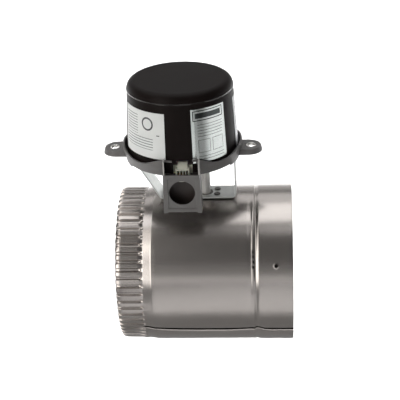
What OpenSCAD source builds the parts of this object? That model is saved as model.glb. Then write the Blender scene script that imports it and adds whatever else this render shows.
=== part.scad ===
// Automatic vent damper: a short round vent pipe with a turning blade, a bent strap bracket
// on top of it and a round motor operator on the bracket. Lengths are in millimetres.
// The origin is the centre of the plain mouth; the pipe lies along X, the shaft stands along Z.

/* [Pipe] */
// Bore of the vent pipe
pipe_bore_d = 152.6; // [120:0.1:180]
// Sheet thickness of the pipe
pipe_wall = 0.7; // [0.4:0.05:1.2]
// Length of the pipe, mouth to crimped end
pipe_len = 170; // [150:1:220]
// Distance from the plain mouth to the shaft
mouth_to_shaft = 84.5; // [80:0.5:110]
// Radial step of the widened plain mouth
mouth_step = 0.4; // [0.2:0.1:1]
// Distance from the mouth to the middle of the double bead
bead_from_mouth = 36.2; // [28:0.1:44]
// Distance between the two grooves of the bead
bead_pitch = 4.6; // [3.6:0.1:6]
// Depth of each groove
bead_depth = 1.2; // [0.6:0.1:1.6]
// Width of each groove
bead_w = 3; // [2:0.1:3.4]
// Length of the crimped end
crimp_len = 27.5; // [20:0.5:32]
// Number of ridges round the crimped end
crimp_count = 66; // [40:1:72]
// Radial clearance between the ridges and the plain mouth that they slide into
crimp_slip = 0.4; // [0.2:0.05:0.8]
// Depth of the valleys between the ridges
crimp_depth = 2.4; // [1.6:0.1:3]
// Share of a ridge pitch taken by its crest
crest_share = 0.5; // [0.3:0.01:0.6]
// Share of a ridge pitch taken by the valley floor
valley_share = 0.2; // [0.1:0.01:0.3]
// Height of the lap seam's outer sheet over the pipe
lap_h = 0.6; // [0.4:0.05:1]
// Angle of the lap seam's free edge below the horizontal
lap_edge_deg = 28.5; // [20:0.5:40]
// Angle covered by the outer sheet of the seam
lap_width_deg = 11; // [8:0.5:16]
// Diameter of the screw hole near the plain mouth
pipe_screw_d = 3.6; // [2.5:0.1:4]
// Distance from the mouth to the screw hole
pipe_screw_x = 16.2; // [12:0.1:24]
// Angle of the screw hole above the horizontal
pipe_screw_deg = 25.5; // [10:0.5:60]

/* [Blade and shaft] */
// Gap between the blade's edge and the bore
blade_gap = 1.9; // [1.3:0.1:4]
// Thickness of the blade
blade_t = 1.2; // [0.8:0.1:2]
// Distance from the blade's edge to the stiffening ring pressed in it
blade_ring_in = 12.4; // [8:0.1:20]
// Width of the stiffening ring
blade_ring_w = 4; // [3:0.5:6]
// Height of the stiffening ring
blade_ring_h = 0.8; // [0.4:0.1:1.2]
// Diameter of the shaft
shaft_d = 9.5; // [8:0.1:11]
// Height of the shaft's top over the tray's underside
shaft_rise = 20.7; // [19:0.1:22]
// Length of the shaft's lower end under the pipe
shaft_tail = 6; // [5:0.1:9]
// Distance from the blade's edge to its outer screws
blade_screw_in = 26.4; // [20:0.1:36]
// Shank diameter of the blade screws
blade_screw_d = 4; // [3:0.1:4.5]
// Head diameter of the blade screws
blade_head_d = 7.6; // [6:0.1:9]
// Head height of the blade screws
blade_head_h = 2.2; // [1.4:0.1:3]
// Flange diameter of the snap-in plug in the blade
plug_flange_d = 17; // [15:0.5:20]
// Hole for the plug in the blade
plug_hole_d = 12.7; // [10:0.1:14]
// Distance from the blade's edge to the plug's middle
plug_in = 32; // [28:0.1:36]
// Flange thickness of the plug
plug_flange_t = 1; // [0.8:0.1:1.5]

/* [Bushings] */
// Body diameter of the pipe bushings
bush_body_d = 11.6; // [11:0.1:12.5]
// Flange diameter of the pipe bushings
bush_flange_d = 13.8; // [13:0.1:14.4]
// Flange thickness of the bushings
bush_flange_t = 1.3; // [1:0.1:1.6]
// Reach of the pipe bushings into the bore
bush_reach = 1; // [0.5:0.1:1.2]
// Flange diameter of the bushing in the tray floor
floor_bush_d = 17; // [15:0.5:18]
// Outer diameter of the retaining clip
clip_d = 15; // [13:0.5:17]
// Thickness of the retaining clip
clip_t = 1; // [0.8:0.1:1.2]
// Depth of the clip's groove in the shaft
clip_groove = 0.9; // [0.6:0.1:1.2]

/* [Bracket] */
// Width of the strap
strap_w = 25.4; // [20:0.1:28]
// Thickness of the strap
strap_t = 1.5; // [1.2:0.1:2]
// Inner bend radius of the strap
strap_bend_r = 3; // [2:0.1:4]
// Distance from the shaft to the outer face of the upright leg
leg_right_x = 30.6; // [29:0.1:32]
// Distance from the shaft to the bend of the leaning leg
leg_left_x = 40.9; // [39:0.1:43]
// Lean of the left leg from the vertical
leg_lean = 30; // [24:0.5:34]
// Length of the flat feet under the tray
foot_len = 15; // [14:0.5:17]
// Diameter of the plate's hole round the shaft
plate_hole_d = 15; // [14.6:0.1:16]
// Distance of the rivets from the shaft, along the pipe
rivet_x = 11.5; // [10:0.1:13]
// Distance of the rivets from the pipe's middle, across it
rivet_y = 5.5; // [4:0.1:7]
// Shank diameter of the rivets
rivet_d = 3.2; // [2.4:0.1:4]
// Head diameter of the rivets
rivet_head_d = 6.2; // [5:0.1:7]
// Head height of the rivets
rivet_head_h = 1.1; // [0.8:0.1:1.5]

/* [Base tray] */
// Distance from the shaft to the axis of the operator
housing_offset = 20.4; // [18:0.1:23]
// Height of the tray's underside over the pipe
tray_rise = 44.3; // [41:0.1:47]
// Thickness of the tray floor
floor_t = 2; // [1.6:0.1:3]
// Wall thickness of the tray's rim
rim_t = 1.8; // [1.4:0.1:2.4]
// Radius of the tray at its underside
tray_low_r = 55; // [54:0.1:57]
// Radius of the tray over its rim
tray_rim_r = 57.5; // [56.5:0.1:59]
// Height over which the rim widens
rim_flare_h = 10; // [6:0.5:14]
// Height of the rim at the ears, over the underside
rim_ear_h = 14.2; // [12:0.1:16]
// Lowest height of the rim between the ears and the box
rim_low_h = 9.3; // [8:0.1:11]
// Height of the rim beside the conduit box
rim_box_h = 16.5; // [14:0.1:18]
// Height of the rim strips that run on beside the harness socket
rim_strip_h = 1.6; // [1.2:0.1:3]
// Radius of the bosses for the bracket and cover screws
boss_r = 4; // [3.5:0.1:4.5]
// Height of the bracket screw bosses over the floor
boss_h = 6; // [4:0.1:7]

/* [Ears] */
// Distance between the two ear holes
ear_hole_pitch = 132; // [128:0.5:136]
// Radius of an ear's rounded end at its upper face
ear_r = 12.4; // [11:0.1:14]
// Distance of the ear's end centre inside the hole
ear_inset = 2.8; // [1:0.1:4]
// Height of the ear's upper face over the underside
ear_top_h = 7.2; // [6:0.1:9]
// Height of the ear's skirt
ear_h = 5.2; // [4:0.1:6]
// Outward slope of the skirt over its height
ear_slope = 1.4; // [0.8:0.1:2]
// Wall of the hollow ear
ear_wall = 2.4; // [2:0.1:3]
// Recess diameter round the ear hole
ear_recess_d = 12; // [11:0.1:13]
// Depth of that recess
ear_recess_h = 0.8; // [0.4:0.1:1.2]
// Diameter of the hole through the eyelet
ear_hole_d = 8; // [6:0.1:9]
// Wall of the eyelet
eyelet_wall = 0.6; // [0.5:0.1:1]
// Width of the eyelet's flange
eyelet_flange = 1.3; // [0.8:0.1:1.6]

/* [Conduit box] */
// Distance from the operator's axis to the box's middle, along the pipe
box_x = 2.5; // [1:0.1:4]
// Distance from the operator's axis to the box's front face
box_front = 62; // [60:0.1:66]
// Distance from the operator's axis to the front face of the box's rear wall
box_back = 48; // [47:0.1:48.4]
// Width of the box at its lower end
box_low_w = 36; // [34:0.1:38]
// Width of the box at its upper end
box_top_w = 33.6; // [32:0.1:34]
// Thickness of the conduit box's side walls
box_wall = 1.2; // [1:0.1:2.4]
// Drop of the box's lower end below the tray's underside
box_drop = 33.7; // [30:0.1:36]
// Drop of the corner ribs below the box
rib_drop = 1.1; // [0.6:0.1:1.6]
// Width of the frame on the front face
frame_w = 4.2; // [3:0.1:5]
// Height of the frame over the front panel
frame_h = 0.8; // [0.5:0.1:1]
// Height of the front wall over the tray's underside
front_wall_h = 3.9; // [3:0.1:5]
// Height of the side posts over the tray's underside
post_h = 17.6; // [16:0.1:19]
// Diameter of the conduit hole
conduit_d = 24; // [22:0.1:26]
// Distance of the conduit hole's centre under the tray's underside
conduit_drop = 14.4; // [13:0.1:16]
// Height of the rear wall over the tray's underside
panel_h = 12.5; // [11:0.1:13.5]

/* [Cover] */
// Outer radius of the cover at its lower edge
cover_low_r = 53.9; // [52:0.1:54.4]
// Slope of the cover's side, degrees from the vertical
cover_slope = 3; // [2:0.1:5]
// Room between the relay and the inside of the cover's top
cover_room = 4.5; // [2:0.1:8]
// Radius of the cover's upper edge
cover_edge_r = 7.6; // [5:0.1:9]
// Wall of the cover
cover_wall = 1.8; // [1.4:0.1:2.4]
// Distance of the cover's screw bosses from its axis
cover_boss_x = 45; // [44:0.1:46]
// Direction of the first cover screw boss
cover_boss_deg = 305; // [300:1:310]
// Height of the cover's screw bosses
cover_boss_h = 20; // [16:0.5:24]
// Height of the wide part of the front notch over the tray's underside
notch_low_h = 12.4; // [11:0.1:13]
// Height of the narrow part of the front notch over the tray's underside
notch_top_h = 14.8; // [14:0.1:16]
// Width of the narrow part of the front notch
notch_top_w = 11.4; // [11:0.1:13]

/* [Labels] */
// Thickness of the labels
label_t = 0.25; // [0.1:0.05:0.4]
// First edge of the paper label, degrees
paper_from_deg = 199.5; // [195:0.5:205]
// Width of the paper label, degrees
paper_deg = 57.5; // [50:0.5:60]
// Lower edge of the paper label over the tray's underside
paper_low_h = 15.3; // [14:0.1:18]
// Upper edge of the paper label over the tray's underside
paper_top_h = 60; // [56:0.1:64]
// First edge of the metallised label, degrees
metal_from_deg = 284.4; // [280:0.1:288]
// Width of the metallised label, degrees
metal_deg = 40.3; // [36:0.1:44]
// Lower edge of the metallised label over the tray's underside
metal_low_h = 11.4; // [7:0.1:12]
// Upper edge of the metallised label over the tray's underside
metal_top_h = 63.4; // [60:0.1:66]
// First edge of the side label, degrees
strip_from_deg = 347; // [340:0.5:352]
// Width of the side label, degrees
strip_deg = 36; // [20:0.5:44]
// Lower edge of the side label over the tray's underside
strip_low_h = 11; // [9:0.1:16]
// Upper edge of the side label over the tray's underside
strip_top_h = 60.5; // [56:0.1:64]

/* [Harness socket] */
// Distance from the operator's axis to the socket's middle, along the pipe
socket_x = 3.4; // [2:0.1:4.5]
// Width of the socket
socket_w = 12.8; // [11:0.1:14]
// Height of the socket's body
socket_h = 12.6; // [11:0.1:13]
// Height of the socket's upper face over the tray's underside
socket_top_h = 7.4; // [6:0.1:8]
// Distance from the operator's axis to the socket's front face
socket_front = 56; // [54:0.1:57]
// Distance from the operator's axis to the socket's rear face
socket_back = 45; // [44:0.1:45.8]
// Wall of the socket
socket_wall = 1.3; // [1:0.1:1.6]
// Depth of the socket's cells
socket_depth = 8.4; // [7:0.1:9]
// Width of the latch tower over the socket
tower_w = 9.4; // [8:0.1:10]
// Height of the latch tower over the socket
tower_h = 4.8; // [3:0.1:5.4]
// Width over the socket's side wings
wing_w = 18; // [17:0.1:19]
// Height of the side wings
wing_h = 8.6; // [7:0.1:9]
// Thickness of the side wings
wing_t = 1.2; // [0.8:0.1:1.5]
// Number of socket pins
pin_count = 4; // [3:1:4]
// Pin size
pin_d = 1.1; // [0.8:0.1:1.3]
// Diameter of the leads behind the socket
lead_d = 1.5; // [1.2:0.1:1.8]

/* [Operator inside] */
// Tooth module of the two gears
gear_module = 1.5; // [1.4:0.05:1.6]
// Teeth of the gear on the shaft
wheel_teeth = 26; // [24:1:28]
// Teeth of the motor's pinion
pinion_teeth = 12; // [12:1:13]
// Pressure angle of the teeth
tooth_angle = 20; // [18:0.5:24]
// Thinning of every tooth flank
tooth_thin = 0.36; // [0.3:0.02:0.5]
// Thickness of the gear on the shaft
wheel_t = 5; // [4:0.1:6]
// Height of the gear's lower face over the floor
wheel_h = 8.7; // [8:0.1:9.5]
// Hub radius of the gear
hub_r = 8; // [7:0.1:9]
// Height of the hub over the gear
hub_h = 4.6; // [4:0.1:5]
// Overrun of the pinion past the gear's face, each side
pinion_over = 0.5; // [0.3:0.1:0.8]
// Diameter of the motor's output shaft
motor_shaft_d = 4; // [3:0.1:5]
// Diameter of the cross pin in the gear's hub
cross_pin_d = 2.4; // [2:0.1:3]
// Largest radius of the switch cam
cam_r = 13; // [12:0.1:13.4]
// Fall of the cam between its high and low places
cam_fall = 1.4; // [1:0.1:1.6]
// Thickness of the switch cam
cam_t = 4.8; // [4:0.1:5.4]
// Height of the cam's lower face over the floor
cam_h = 1.9; // [1.6:0.1:2.2]
// Height of the motor plate's underside over the floor
plate_h = 22.7; // [21:0.1:24]
// Thickness of the motor plate
plate_t = 1.5; // [1.2:0.1:2]
// Radius of the motor plate
plate_r = 39.8; // [38:0.1:40.4]
// Distance of the plate's posts from the operator's axis
posts_r = 35.5; // [35:0.1:36]
// Width across the flats of the hexagonal posts
post_af = 5.6; // [5:0.1:6]
// Radius of the motor can
motor_r = 24.5; // [22:0.1:25]
// Height of the motor can
motor_h = 14; // [12:0.1:16]
// Height of the gear case under the can
case_h = 9; // [8:0.1:10]
// Offset of the motor along the pipe
motor_x = -3; // [-4:0.1:0]
// Offset of the motor across the pipe
motor_y = 6.5; // [5:0.1:7]
// Distance of the gear case's lug screws from the motor's middle
lug_x = 28; // [27:0.1:29]
// Radius of the lugs
lug_r = 4.4; // [4:0.1:5]
// Thickness of the lugs
lug_t = 2; // [1.5:0.1:3]
// Height of the circuit board over the motor plate
board_h = 30.5; // [29:0.1:32]
// Radius of the circuit board
board_r = 43; // [40:0.1:44]
// Thickness of the circuit board
board_t = 1.6; // [1:0.1:2]
// Distance from the operator's axis to the board's straight front edge
board_front = 39; // [36:0.1:40]
// Length of the relay
relay_l = 19; // [15:0.1:20]
// Width of the relay
relay_w = 15.4; // [12:0.1:16]
// Height of the relay
relay_h = 12.6; // [10:0.1:13]
// Radius of the capacitors
cap_r = 4; // [3:0.1:5]
// Height of the capacitors
cap_h = 11; // [8:0.1:12]
// Width of the board's lead header
header_w = 12; // [11:0.1:14]
// Depth of the board's lead header
header_d = 6; // [5:0.1:8]
// Height of the board's lead header
header_h = 7; // [6:0.1:9]

/* [Switches] */
// Distance from the shaft to a switch's front face
switch_x = 16.3; // [16:0.1:17]
// Length of a switch
switch_l = 20; // [18:0.1:21]
// Depth of a switch
switch_d = 10; // [9:0.1:11]
// Thickness of a switch
switch_t = 6; // [5.6:0.1:6.4]
// Distance of the lever's hinge from the switch's middle
lever_hinge = 8.7; // [8:0.1:9]
// Thickness of the lever
lever_t = 0.4; // [0.3:0.05:0.6]
// Width of the lever
lever_w = 4; // [3:0.1:4.4]
// Turn of the lever between pressed and free
lever_turn = 8; // [6:0.5:8]
// Radius of the bump on the lever
bump_r = 1; // [0.8:0.1:1.2]
// Width of the switch button
button_w = 2.4; // [2:0.1:3]
// Length of the switch button
button_l = 3.4; // [3:0.1:4]
// Stroke of the switch button
button_stroke = 1; // [0.6:0.1:1.2]

/* [Screws] */
// Shank diameter of the bracket and cover screws
screw_d = 3.6; // [3:0.1:4]
// Head diameter of the bracket and cover screws
screw_head_d = 7; // [6:0.1:7.6]
// Head height of those screws
screw_head_h = 2.2; // [1.6:0.1:2.6]
// Reach of those screws into their bosses
screw_reach = 5; // [4:0.1:6]
// Shank diameter of the small screws
small_d = 2.9; // [2.4:0.1:3]
// Head diameter of the small screws
small_head_d = 5.4; // [4.6:0.1:5.6]
// Head height of the small screws
small_head_h = 1.7; // [1.2:0.1:2]
// Shank diameter of the switch screws
tiny_d = 2; // [1.6:0.1:2.2]
// Head diameter of the switch screws
tiny_head_d = 3.6; // [3:0.1:4]
// Head height of the switch screws
tiny_head_h = 1.2; // [0.8:0.1:1.4]

/* [Hidden] */
$fn = 72;
// Overrun of every cut
cut = 1;
// Radial clearance of the running fits
run_gap = 0.05;
// Small gap between pieces that rest on each other
rest_gap = 0.03;
// Gap kept between pieces that move past each other
free_gap = 0.3;
// Overlap that joins the shapes of one piece
join = 0.2;
deg_per_rad = 180 / PI;
pipe_r = pipe_bore_d / 2;
pipe_out_r = pipe_r + pipe_wall;
mouth_r = pipe_r + mouth_step;
crimp_crest_r = mouth_r - crimp_slip;
crimp_valley_r = crimp_crest_r - crimp_depth;
blade_r = pipe_r - blade_gap;
blade_ring_r = blade_r - blade_ring_in;
blade_screw_pitch = blade_r - blade_screw_in;
plug_y = (blade_r - plug_in) * cos(45);
plug_z = -plug_y;
bush_inner_z = pipe_r - bush_reach;
tray_z = pipe_out_r + tray_rise;
shaft_top_z = tray_z + shaft_rise;
shaft_bottom_z = -pipe_out_r - shaft_tail;
conduit_z = tray_z - conduit_drop;
shaft_x = -mouth_to_shaft;
house_x = shaft_x - housing_offset;
shaft_r = shaft_d / 2;
floor_top = tray_z + floor_t;
plate_low_z = floor_top + plate_h;
plate_top_z = plate_low_z + plate_t;
board_z = plate_top_z + board_h;
board_top_z = board_z + board_t;
cover_top_z = board_top_z + relay_h + cover_room + cover_wall;
bracket_z = pipe_out_r + rest_gap;
bracket_top_z = bracket_z + strap_t;
foot_top_z = tray_z - rest_gap;
ear_hole_x = ear_hole_pitch / 2;
ear_end_x = ear_hole_x - ear_inset;
ear_top_z = tray_z + ear_top_h;
ear_low_z = ear_top_z - ear_h;
wheel_r = gear_module * wheel_teeth / 2;
pinion_r = gear_module * pinion_teeth / 2;
gear_distance = wheel_r + pinion_r;
pinion_y = sqrt(gear_distance * gear_distance - housing_offset * housing_offset);
pinion_dir = 180 - asin(pinion_y / gear_distance);
wheel_z = floor_top + wheel_h;
cam_z = floor_top + cam_h;
blade_x = shaft_r + rest_gap;
box_low_z = tray_z - box_drop;
box_top_z = tray_z + post_h;
cover_low_z = floor_top + join;
cover_cz = cover_top_z - cover_edge_r;
cover_tan_z = cover_cz + cover_edge_r * sin(cover_slope);
cover_tan_r = cover_low_r - (cover_tan_z - cover_low_z) * tan(cover_slope);
cover_cr = cover_tan_r - cover_edge_r * cos(cover_slope);
foot_right_x = leg_right_x - strap_t - strap_bend_r;
leg_rise = (foot_top_z - strap_t - strap_bend_r) - (bracket_z + strap_t + strap_bend_r);
leg_run = leg_rise * tan(leg_lean);
foot_left_x = -leg_left_x - leg_run;
foot_screw_y = 7 / 25.4 * strap_w;
foot_screw_in = foot_len * 0.45;
post_dirs = [90, 215, 310];
bend_steps = 8;
ridge_pinch = 11;
upper_flange_z = pipe_out_r + rest_gap;
lower_flange_z = -pipe_out_r - rest_gap - bush_flange_t;
clip_low_z = lower_flange_z - free_gap - clip_t;
cross_pin_z = wheel_z + wheel_t + hub_h / 2;
cover_clear_r = cover_low_r + free_gap;
panel_w = 2 * (box_top_w / 2 - box_wall) - 2 * free_gap;
socket_top_z = tray_z + socket_top_h;
cell_pitch = (socket_w - 2 * socket_wall + socket_wall * 0.6) / pin_count;
lead_bend_r = lead_d * 1.3;
lead_low_z = socket_top_z - socket_h / 2;
lead_top_z = board_top_z + header_h / 2;
switch_z = floor_top + rest_gap;
button_x = switch_x - 0.65 * button_stroke;
lever_x = button_x - free_gap;
hinge_x = lever_x - lever_t / 2;

module at_shaft() {
    translate([shaft_x, 0, 0]) children();
}

module at_house() {
    translate([house_x, 0, 0]) children();
}

module tube(r_out, r_in, z0, z1) {
    translate([0, 0, z0]) difference() {
        cylinder(r = r_out, h = z1 - z0);
        translate([0, 0, -cut]) cylinder(r = r_in, h = z1 - z0 + 2 * cut);
    }
}

module rod(r, z0, z1) {
    translate([0, 0, z0]) cylinder(r = r, h = z1 - z0);
}

// Outer radii of the smooth pipe, mouth first, as [radius, distance from the mouth]
bead_a = bead_from_mouth - bead_pitch / 2;
bead_b = bead_from_mouth + bead_pitch / 2;
crimp_from = pipe_len - crimp_len;
function smooth_line(grow) = [
    [pipe_out_r + mouth_step + grow, 0],
    [pipe_out_r + mouth_step + grow, bead_a - bead_w / 2],
    [pipe_out_r + mouth_step + grow - bead_depth, bead_a - bead_w / 6],
    [pipe_out_r + mouth_step + grow - bead_depth, bead_a + bead_w / 6],
    [pipe_out_r + grow - bead_depth * 0.3, bead_from_mouth - bead_w / 5],
    [pipe_out_r + grow - bead_depth * 0.3, bead_from_mouth + bead_w / 5],
    [pipe_out_r + grow - bead_depth, bead_b - bead_w / 6],
    [pipe_out_r + grow - bead_depth, bead_b + bead_w / 6],
    [pipe_out_r + grow, bead_b + bead_w / 2],
    [pipe_out_r + grow, crimp_from]];
function backward(v) = [for (i = [len(v) - 1 : -1 : 0]) v[i]];

// Corrugated outline of the crimped end, moved in or out by grow; pinch narrows its ridges
function ridge_points(grow, pinch) = [for (i = [0 : crimp_count - 1])
    for (c = [[pinch - 180 * crest_share, 1], [180 * crest_share - pinch, 1],
        [180 * (1 - valley_share) - pinch, 0], [180 * (1 + valley_share) + pinch, 0]])
        let (turn = (i * 360 + c[0]) / crimp_count)
        let (r = (c[1] == 1 ? crimp_crest_r : crimp_valley_r) + grow)
        [r * cos(turn), r * sin(turn)]];

module vent_pipe() {
    color("#8f8983") difference() {
        union() {
            rotate([0, -90, 0]) rotate_extrude()
                polygon(concat(smooth_line(0), backward(smooth_line(-pipe_wall))));
            rotate([0, -90, 0]) rotate([0, 0, 270 - lap_edge_deg - lap_width_deg])
                rotate_extrude(angle = lap_width_deg)
                    polygon(concat(smooth_line(lap_h), backward(smooth_line(-pipe_wall / 2))));
            rotate([0, -90, 0]) translate([0, 0, crimp_from - join])
                linear_extrude(crimp_len + join) difference() {
                    polygon(ridge_points(0, 0));
                    polygon(ridge_points(-pipe_wall, ridge_pinch));
                }
            rotate([0, -90, 0]) tube(pipe_out_r, crimp_valley_r - pipe_wall,
                crimp_from - pipe_wall, crimp_from + join);
        }
        at_shaft() {
            rod(bush_body_d / 2 + run_gap, 0, pipe_out_r + cut);
            rod(bush_body_d / 2 + run_gap, -pipe_out_r - cut, 0);
            for (x = [-rivet_x, rivet_x])
                for (y = [-rivet_y, rivet_y])
                    translate([x, y, 0]) rod(rivet_d / 2 + rest_gap, 0, pipe_out_r + cut);
        }
        translate([-pipe_screw_x, 0, 0]) rotate([-pipe_screw_deg, 0, 0]) rotate([90, 0, 0])
            rod(pipe_screw_d / 2, pipe_r - cut, pipe_out_r + 2 * cut);
    }
}

module damper_blade() {
    color("#a8a7a3") at_shaft() translate([blade_x, 0, 0]) rotate([0, 90, 0]) difference() {
        union() {
            rod(blade_r, 0, blade_t);
            tube(blade_ring_r, blade_ring_r - blade_ring_w, blade_t - join,
                blade_t + blade_ring_h);
        }
        for (k = [-1 : 1])
            translate([k * blade_screw_pitch, 0, 0])
                rod(blade_screw_d / 2 + rest_gap, -cut, blade_t + cut);
        translate([-plug_z, plug_y, 0]) rod(plug_hole_d / 2, -cut, blade_t + cut);
    }
}

module pilot_plug() {
    color("#b9b6ae") at_shaft() translate([blade_x, plug_y, plug_z]) rotate([0, 90, 0]) {
        rod(plug_flange_d / 2, blade_t + rest_gap, blade_t + rest_gap + plug_flange_t);
        rod(plug_hole_d / 2 - rest_gap, -plug_flange_t, blade_t + rest_gap + join);
        translate([0, 0, -plug_flange_t - rest_gap])
            cylinder(r1 = plug_hole_d / 2 - plug_flange_t, r2 = plug_hole_d / 2 + free_gap,
                h = plug_flange_t);
    }
}

module damper_shaft() {
    color("#a9a59e") at_shaft() difference() {
        rod(shaft_r, shaft_bottom_z, shaft_top_z);
        for (k = [-1 : 1])
            translate([0, 0, k * blade_screw_pitch]) rotate([0, 90, 0])
                rod(blade_screw_d / 2 + rest_gap, -shaft_d, shaft_d);
        tube(shaft_r + cut, shaft_r - clip_groove, clip_low_z - rest_gap,
            clip_low_z + clip_t + rest_gap);
        translate([0, 0, cross_pin_z]) rotate([90, 0, 0])
            rod(cross_pin_d / 2 + rest_gap, -shaft_d, shaft_d);
    }
}

module blade_screws() {
    color("#8c8c8c") at_shaft()
        for (k = [-1 : 1])
            translate([blade_x + blade_t + rest_gap, 0, k * blade_screw_pitch])
                rotate([0, 90, 0]) difference() {
                    union() {
                        rod(blade_head_d / 2, 0, blade_head_h);
                        rod(blade_screw_d / 2, -blade_t - shaft_d - blade_screw_d / 4, join);
                    }
                    translate([-blade_head_d, -blade_screw_d / 8, blade_head_h / 2])
                        cube([2 * blade_head_d, blade_screw_d / 4, blade_head_h]);
                }
}

module upper_bushing() {
    color("#c9c2a8") at_shaft() difference() {
        union() {
            rod(bush_body_d / 2, bush_inner_z, upper_flange_z + join);
            rod(bush_flange_d / 2, upper_flange_z, upper_flange_z + bush_flange_t);
        }
        rod(shaft_r + run_gap, bush_inner_z - cut, upper_flange_z + bush_flange_t + cut);
    }
}

module lower_bushing() {
    color("#c9c2a8") at_shaft() difference() {
        union() {
            rod(bush_body_d / 2, lower_flange_z, -bush_inner_z);
            rod(bush_flange_d / 2, lower_flange_z, lower_flange_z + bush_flange_t);
        }
        rod(shaft_r + run_gap, lower_flange_z - cut, -bush_inner_z + cut);
    }
}

module retaining_clip() {
    color("#6f7072") at_shaft() translate([0, 0, clip_low_z]) difference() {
        cylinder(r = clip_d / 2, h = clip_t);
        translate([0, 0, -cut]) cylinder(r = shaft_r - clip_groove + rest_gap, h = clip_t + 2 * cut);
        translate([-clip_d, -shaft_r + clip_groove, -cut])
            cube([clip_d, shaft_d - 2 * clip_groove, clip_t + 2 * cut]);
        for (s = [-1, 1])
            rotate([0, 0, s * 55]) translate([clip_d / 2, 0, -cut])
                cylinder(r = clip_d / 8, h = clip_t + 2 * cut);
    }
}

function bend(x, z, r, from, to) = [for (i = [0 : bend_steps])
    let (turn = from + (to - from) * i / bend_steps) [x + r * cos(turn), z + r * sin(turn)]];

// Side view of the strap: its outer face from foot to foot, then its inner face back
module strap_profile() {
    low_c = bracket_z + strap_t + strap_bend_r;
    high_c = foot_top_z - strap_t - strap_bend_r;
    out_r = strap_bend_r + strap_t;
    lean = 180 + leg_lean;
    polygon(concat(
        [[foot_right_x - foot_len, foot_top_z]],
        bend(foot_right_x, high_c, out_r, 90, 0),
        bend(foot_right_x, low_c, out_r, 0, -90),
        bend(-leg_left_x, low_c, out_r, 270, lean),
        bend(foot_left_x, high_c, out_r, lean, 90),
        [[foot_left_x + foot_len, foot_top_z], [foot_left_x + foot_len, foot_top_z - strap_t]],
        bend(foot_left_x, high_c, strap_bend_r, 90, lean),
        bend(-leg_left_x, low_c, strap_bend_r, lean, 270),
        bend(foot_right_x, low_c, strap_bend_r, -90, 0),
        bend(foot_right_x, high_c, strap_bend_r, 0, 90),
        [[foot_right_x - foot_len, foot_top_z - strap_t]]));
}

// Places of the four bracket screws, measured from the shaft
foot_screws = [for (x = [foot_right_x - foot_len + foot_screw_in,
    foot_left_x + foot_len - foot_screw_in])
    for (y = [-foot_screw_y, foot_screw_y]) [x, y]];

module bracket() {
    color("#a9a8a4") at_shaft() difference() {
        rotate([90, 0, 0]) linear_extrude(strap_w, center = true) strap_profile();
        rod(plate_hole_d / 2, bracket_z - cut, bracket_top_z + cut);
        for (x = [-rivet_x, rivet_x])
            for (y = [-rivet_y, rivet_y])
                translate([x, y, 0])
                    rod(rivet_d / 2 + rest_gap, bracket_z - cut, bracket_top_z + cut);
        for (p = foot_screws)
            translate([p[0], p[1], 0])
                rod(screw_d / 2 + run_gap, foot_top_z - strap_t - cut, foot_top_z + cut);
    }
}

module bracket_rivets() {
    tail_z = sqrt(pipe_r * pipe_r - pow(rivet_y + rivet_d, 2)) - rest_gap;
    color("#b0afab") at_shaft()
        for (x = [-rivet_x, rivet_x])
            for (y = [-rivet_y, rivet_y])
                translate([x, y, 0]) {
                    rod(rivet_d / 2, tail_z - rivet_head_h / 2, bracket_top_z + join);
                    rod(rivet_d * 0.7, tail_z - rivet_head_h / 2, tail_z);
                    difference() {
                        translate([0, 0, bracket_top_z + rest_gap])
                            rod(rivet_head_d / 2, 0, rivet_head_h);
                        translate([0, 0, bracket_top_z + rest_gap + rivet_head_h * 0.7])
                            tube(rivet_head_d, rivet_head_d * 0.36, 0, rivet_head_h);
                    }
                }
}

// Side view of the rim's height round the tray, as [distance along the pipe, height]
rim_wave = [[0, rim_box_h], [14, rim_box_h], [19, rim_box_h * 0.93], [25, rim_box_h * 0.8],
    [31, rim_low_h + (rim_box_h - rim_low_h) * 0.18], [37, rim_low_h],
    [44, rim_low_h + (rim_ear_h - rim_low_h) * 0.06],
    [49, rim_low_h + (rim_ear_h - rim_low_h) * 0.4],
    [52.5, rim_low_h + (rim_ear_h - rim_low_h) * 0.8], [55, rim_ear_h], [60, rim_ear_h]];
rim_scale = tray_rim_r / 57.5;
rim_wave_end = rim_wave[len(rim_wave) - 1][0];

module box_outline(grow) {
    rise = post_h + box_drop;
    low = box_low_w / 2 + grow;
    top = box_top_w / 2 + grow;
    polygon([[-low, -grow], [low, -grow], [top, rise + (grow < 0 ? -grow + cut : 0)],
        [-top, rise + (grow < 0 ? -grow + cut : 0)]]);
}

// A slab standing across the pipe between two distances in front of the operator's axis
module box_slab(front, back) {
    translate([box_x, -back, box_low_z]) rotate([90, 0, 0]) linear_extrude(front - back)
        children();
}

module ear_body(grow, h) {
    r_top = ear_r + grow;
    r_low = ear_r + ear_slope * h / ear_h + grow;
    translate([ear_end_x, 0, -h]) cylinder(r1 = r_low, r2 = r_top, h = h);
    translate([0, 0, -h]) rotate([90, 0, 90]) linear_extrude(ear_end_x)
        polygon([[-r_low, 0], [r_low, 0], [r_top, h], [-r_top, h]]);
}

// The rim runs on over the conduit box as two low strips, one each side of the socket
module rim_strips() {
    half = wing_w / 2 + free_gap;
    for (x = [[box_x - box_top_w / 2 + box_wall / 2, socket_x - half],
            [socket_x + half, box_x + box_top_w / 2 - box_wall / 2]])
        intersection() {
            tube(tray_rim_r, tray_rim_r - rim_t, tray_z + rim_box_h - rim_strip_h,
                tray_z + rim_box_h);
            translate([x[0], -tray_rim_r - cut, tray_z])
                cube([x[1] - x[0], tray_rim_r * 0.3, rim_box_h + cut]);
        }
}

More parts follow.
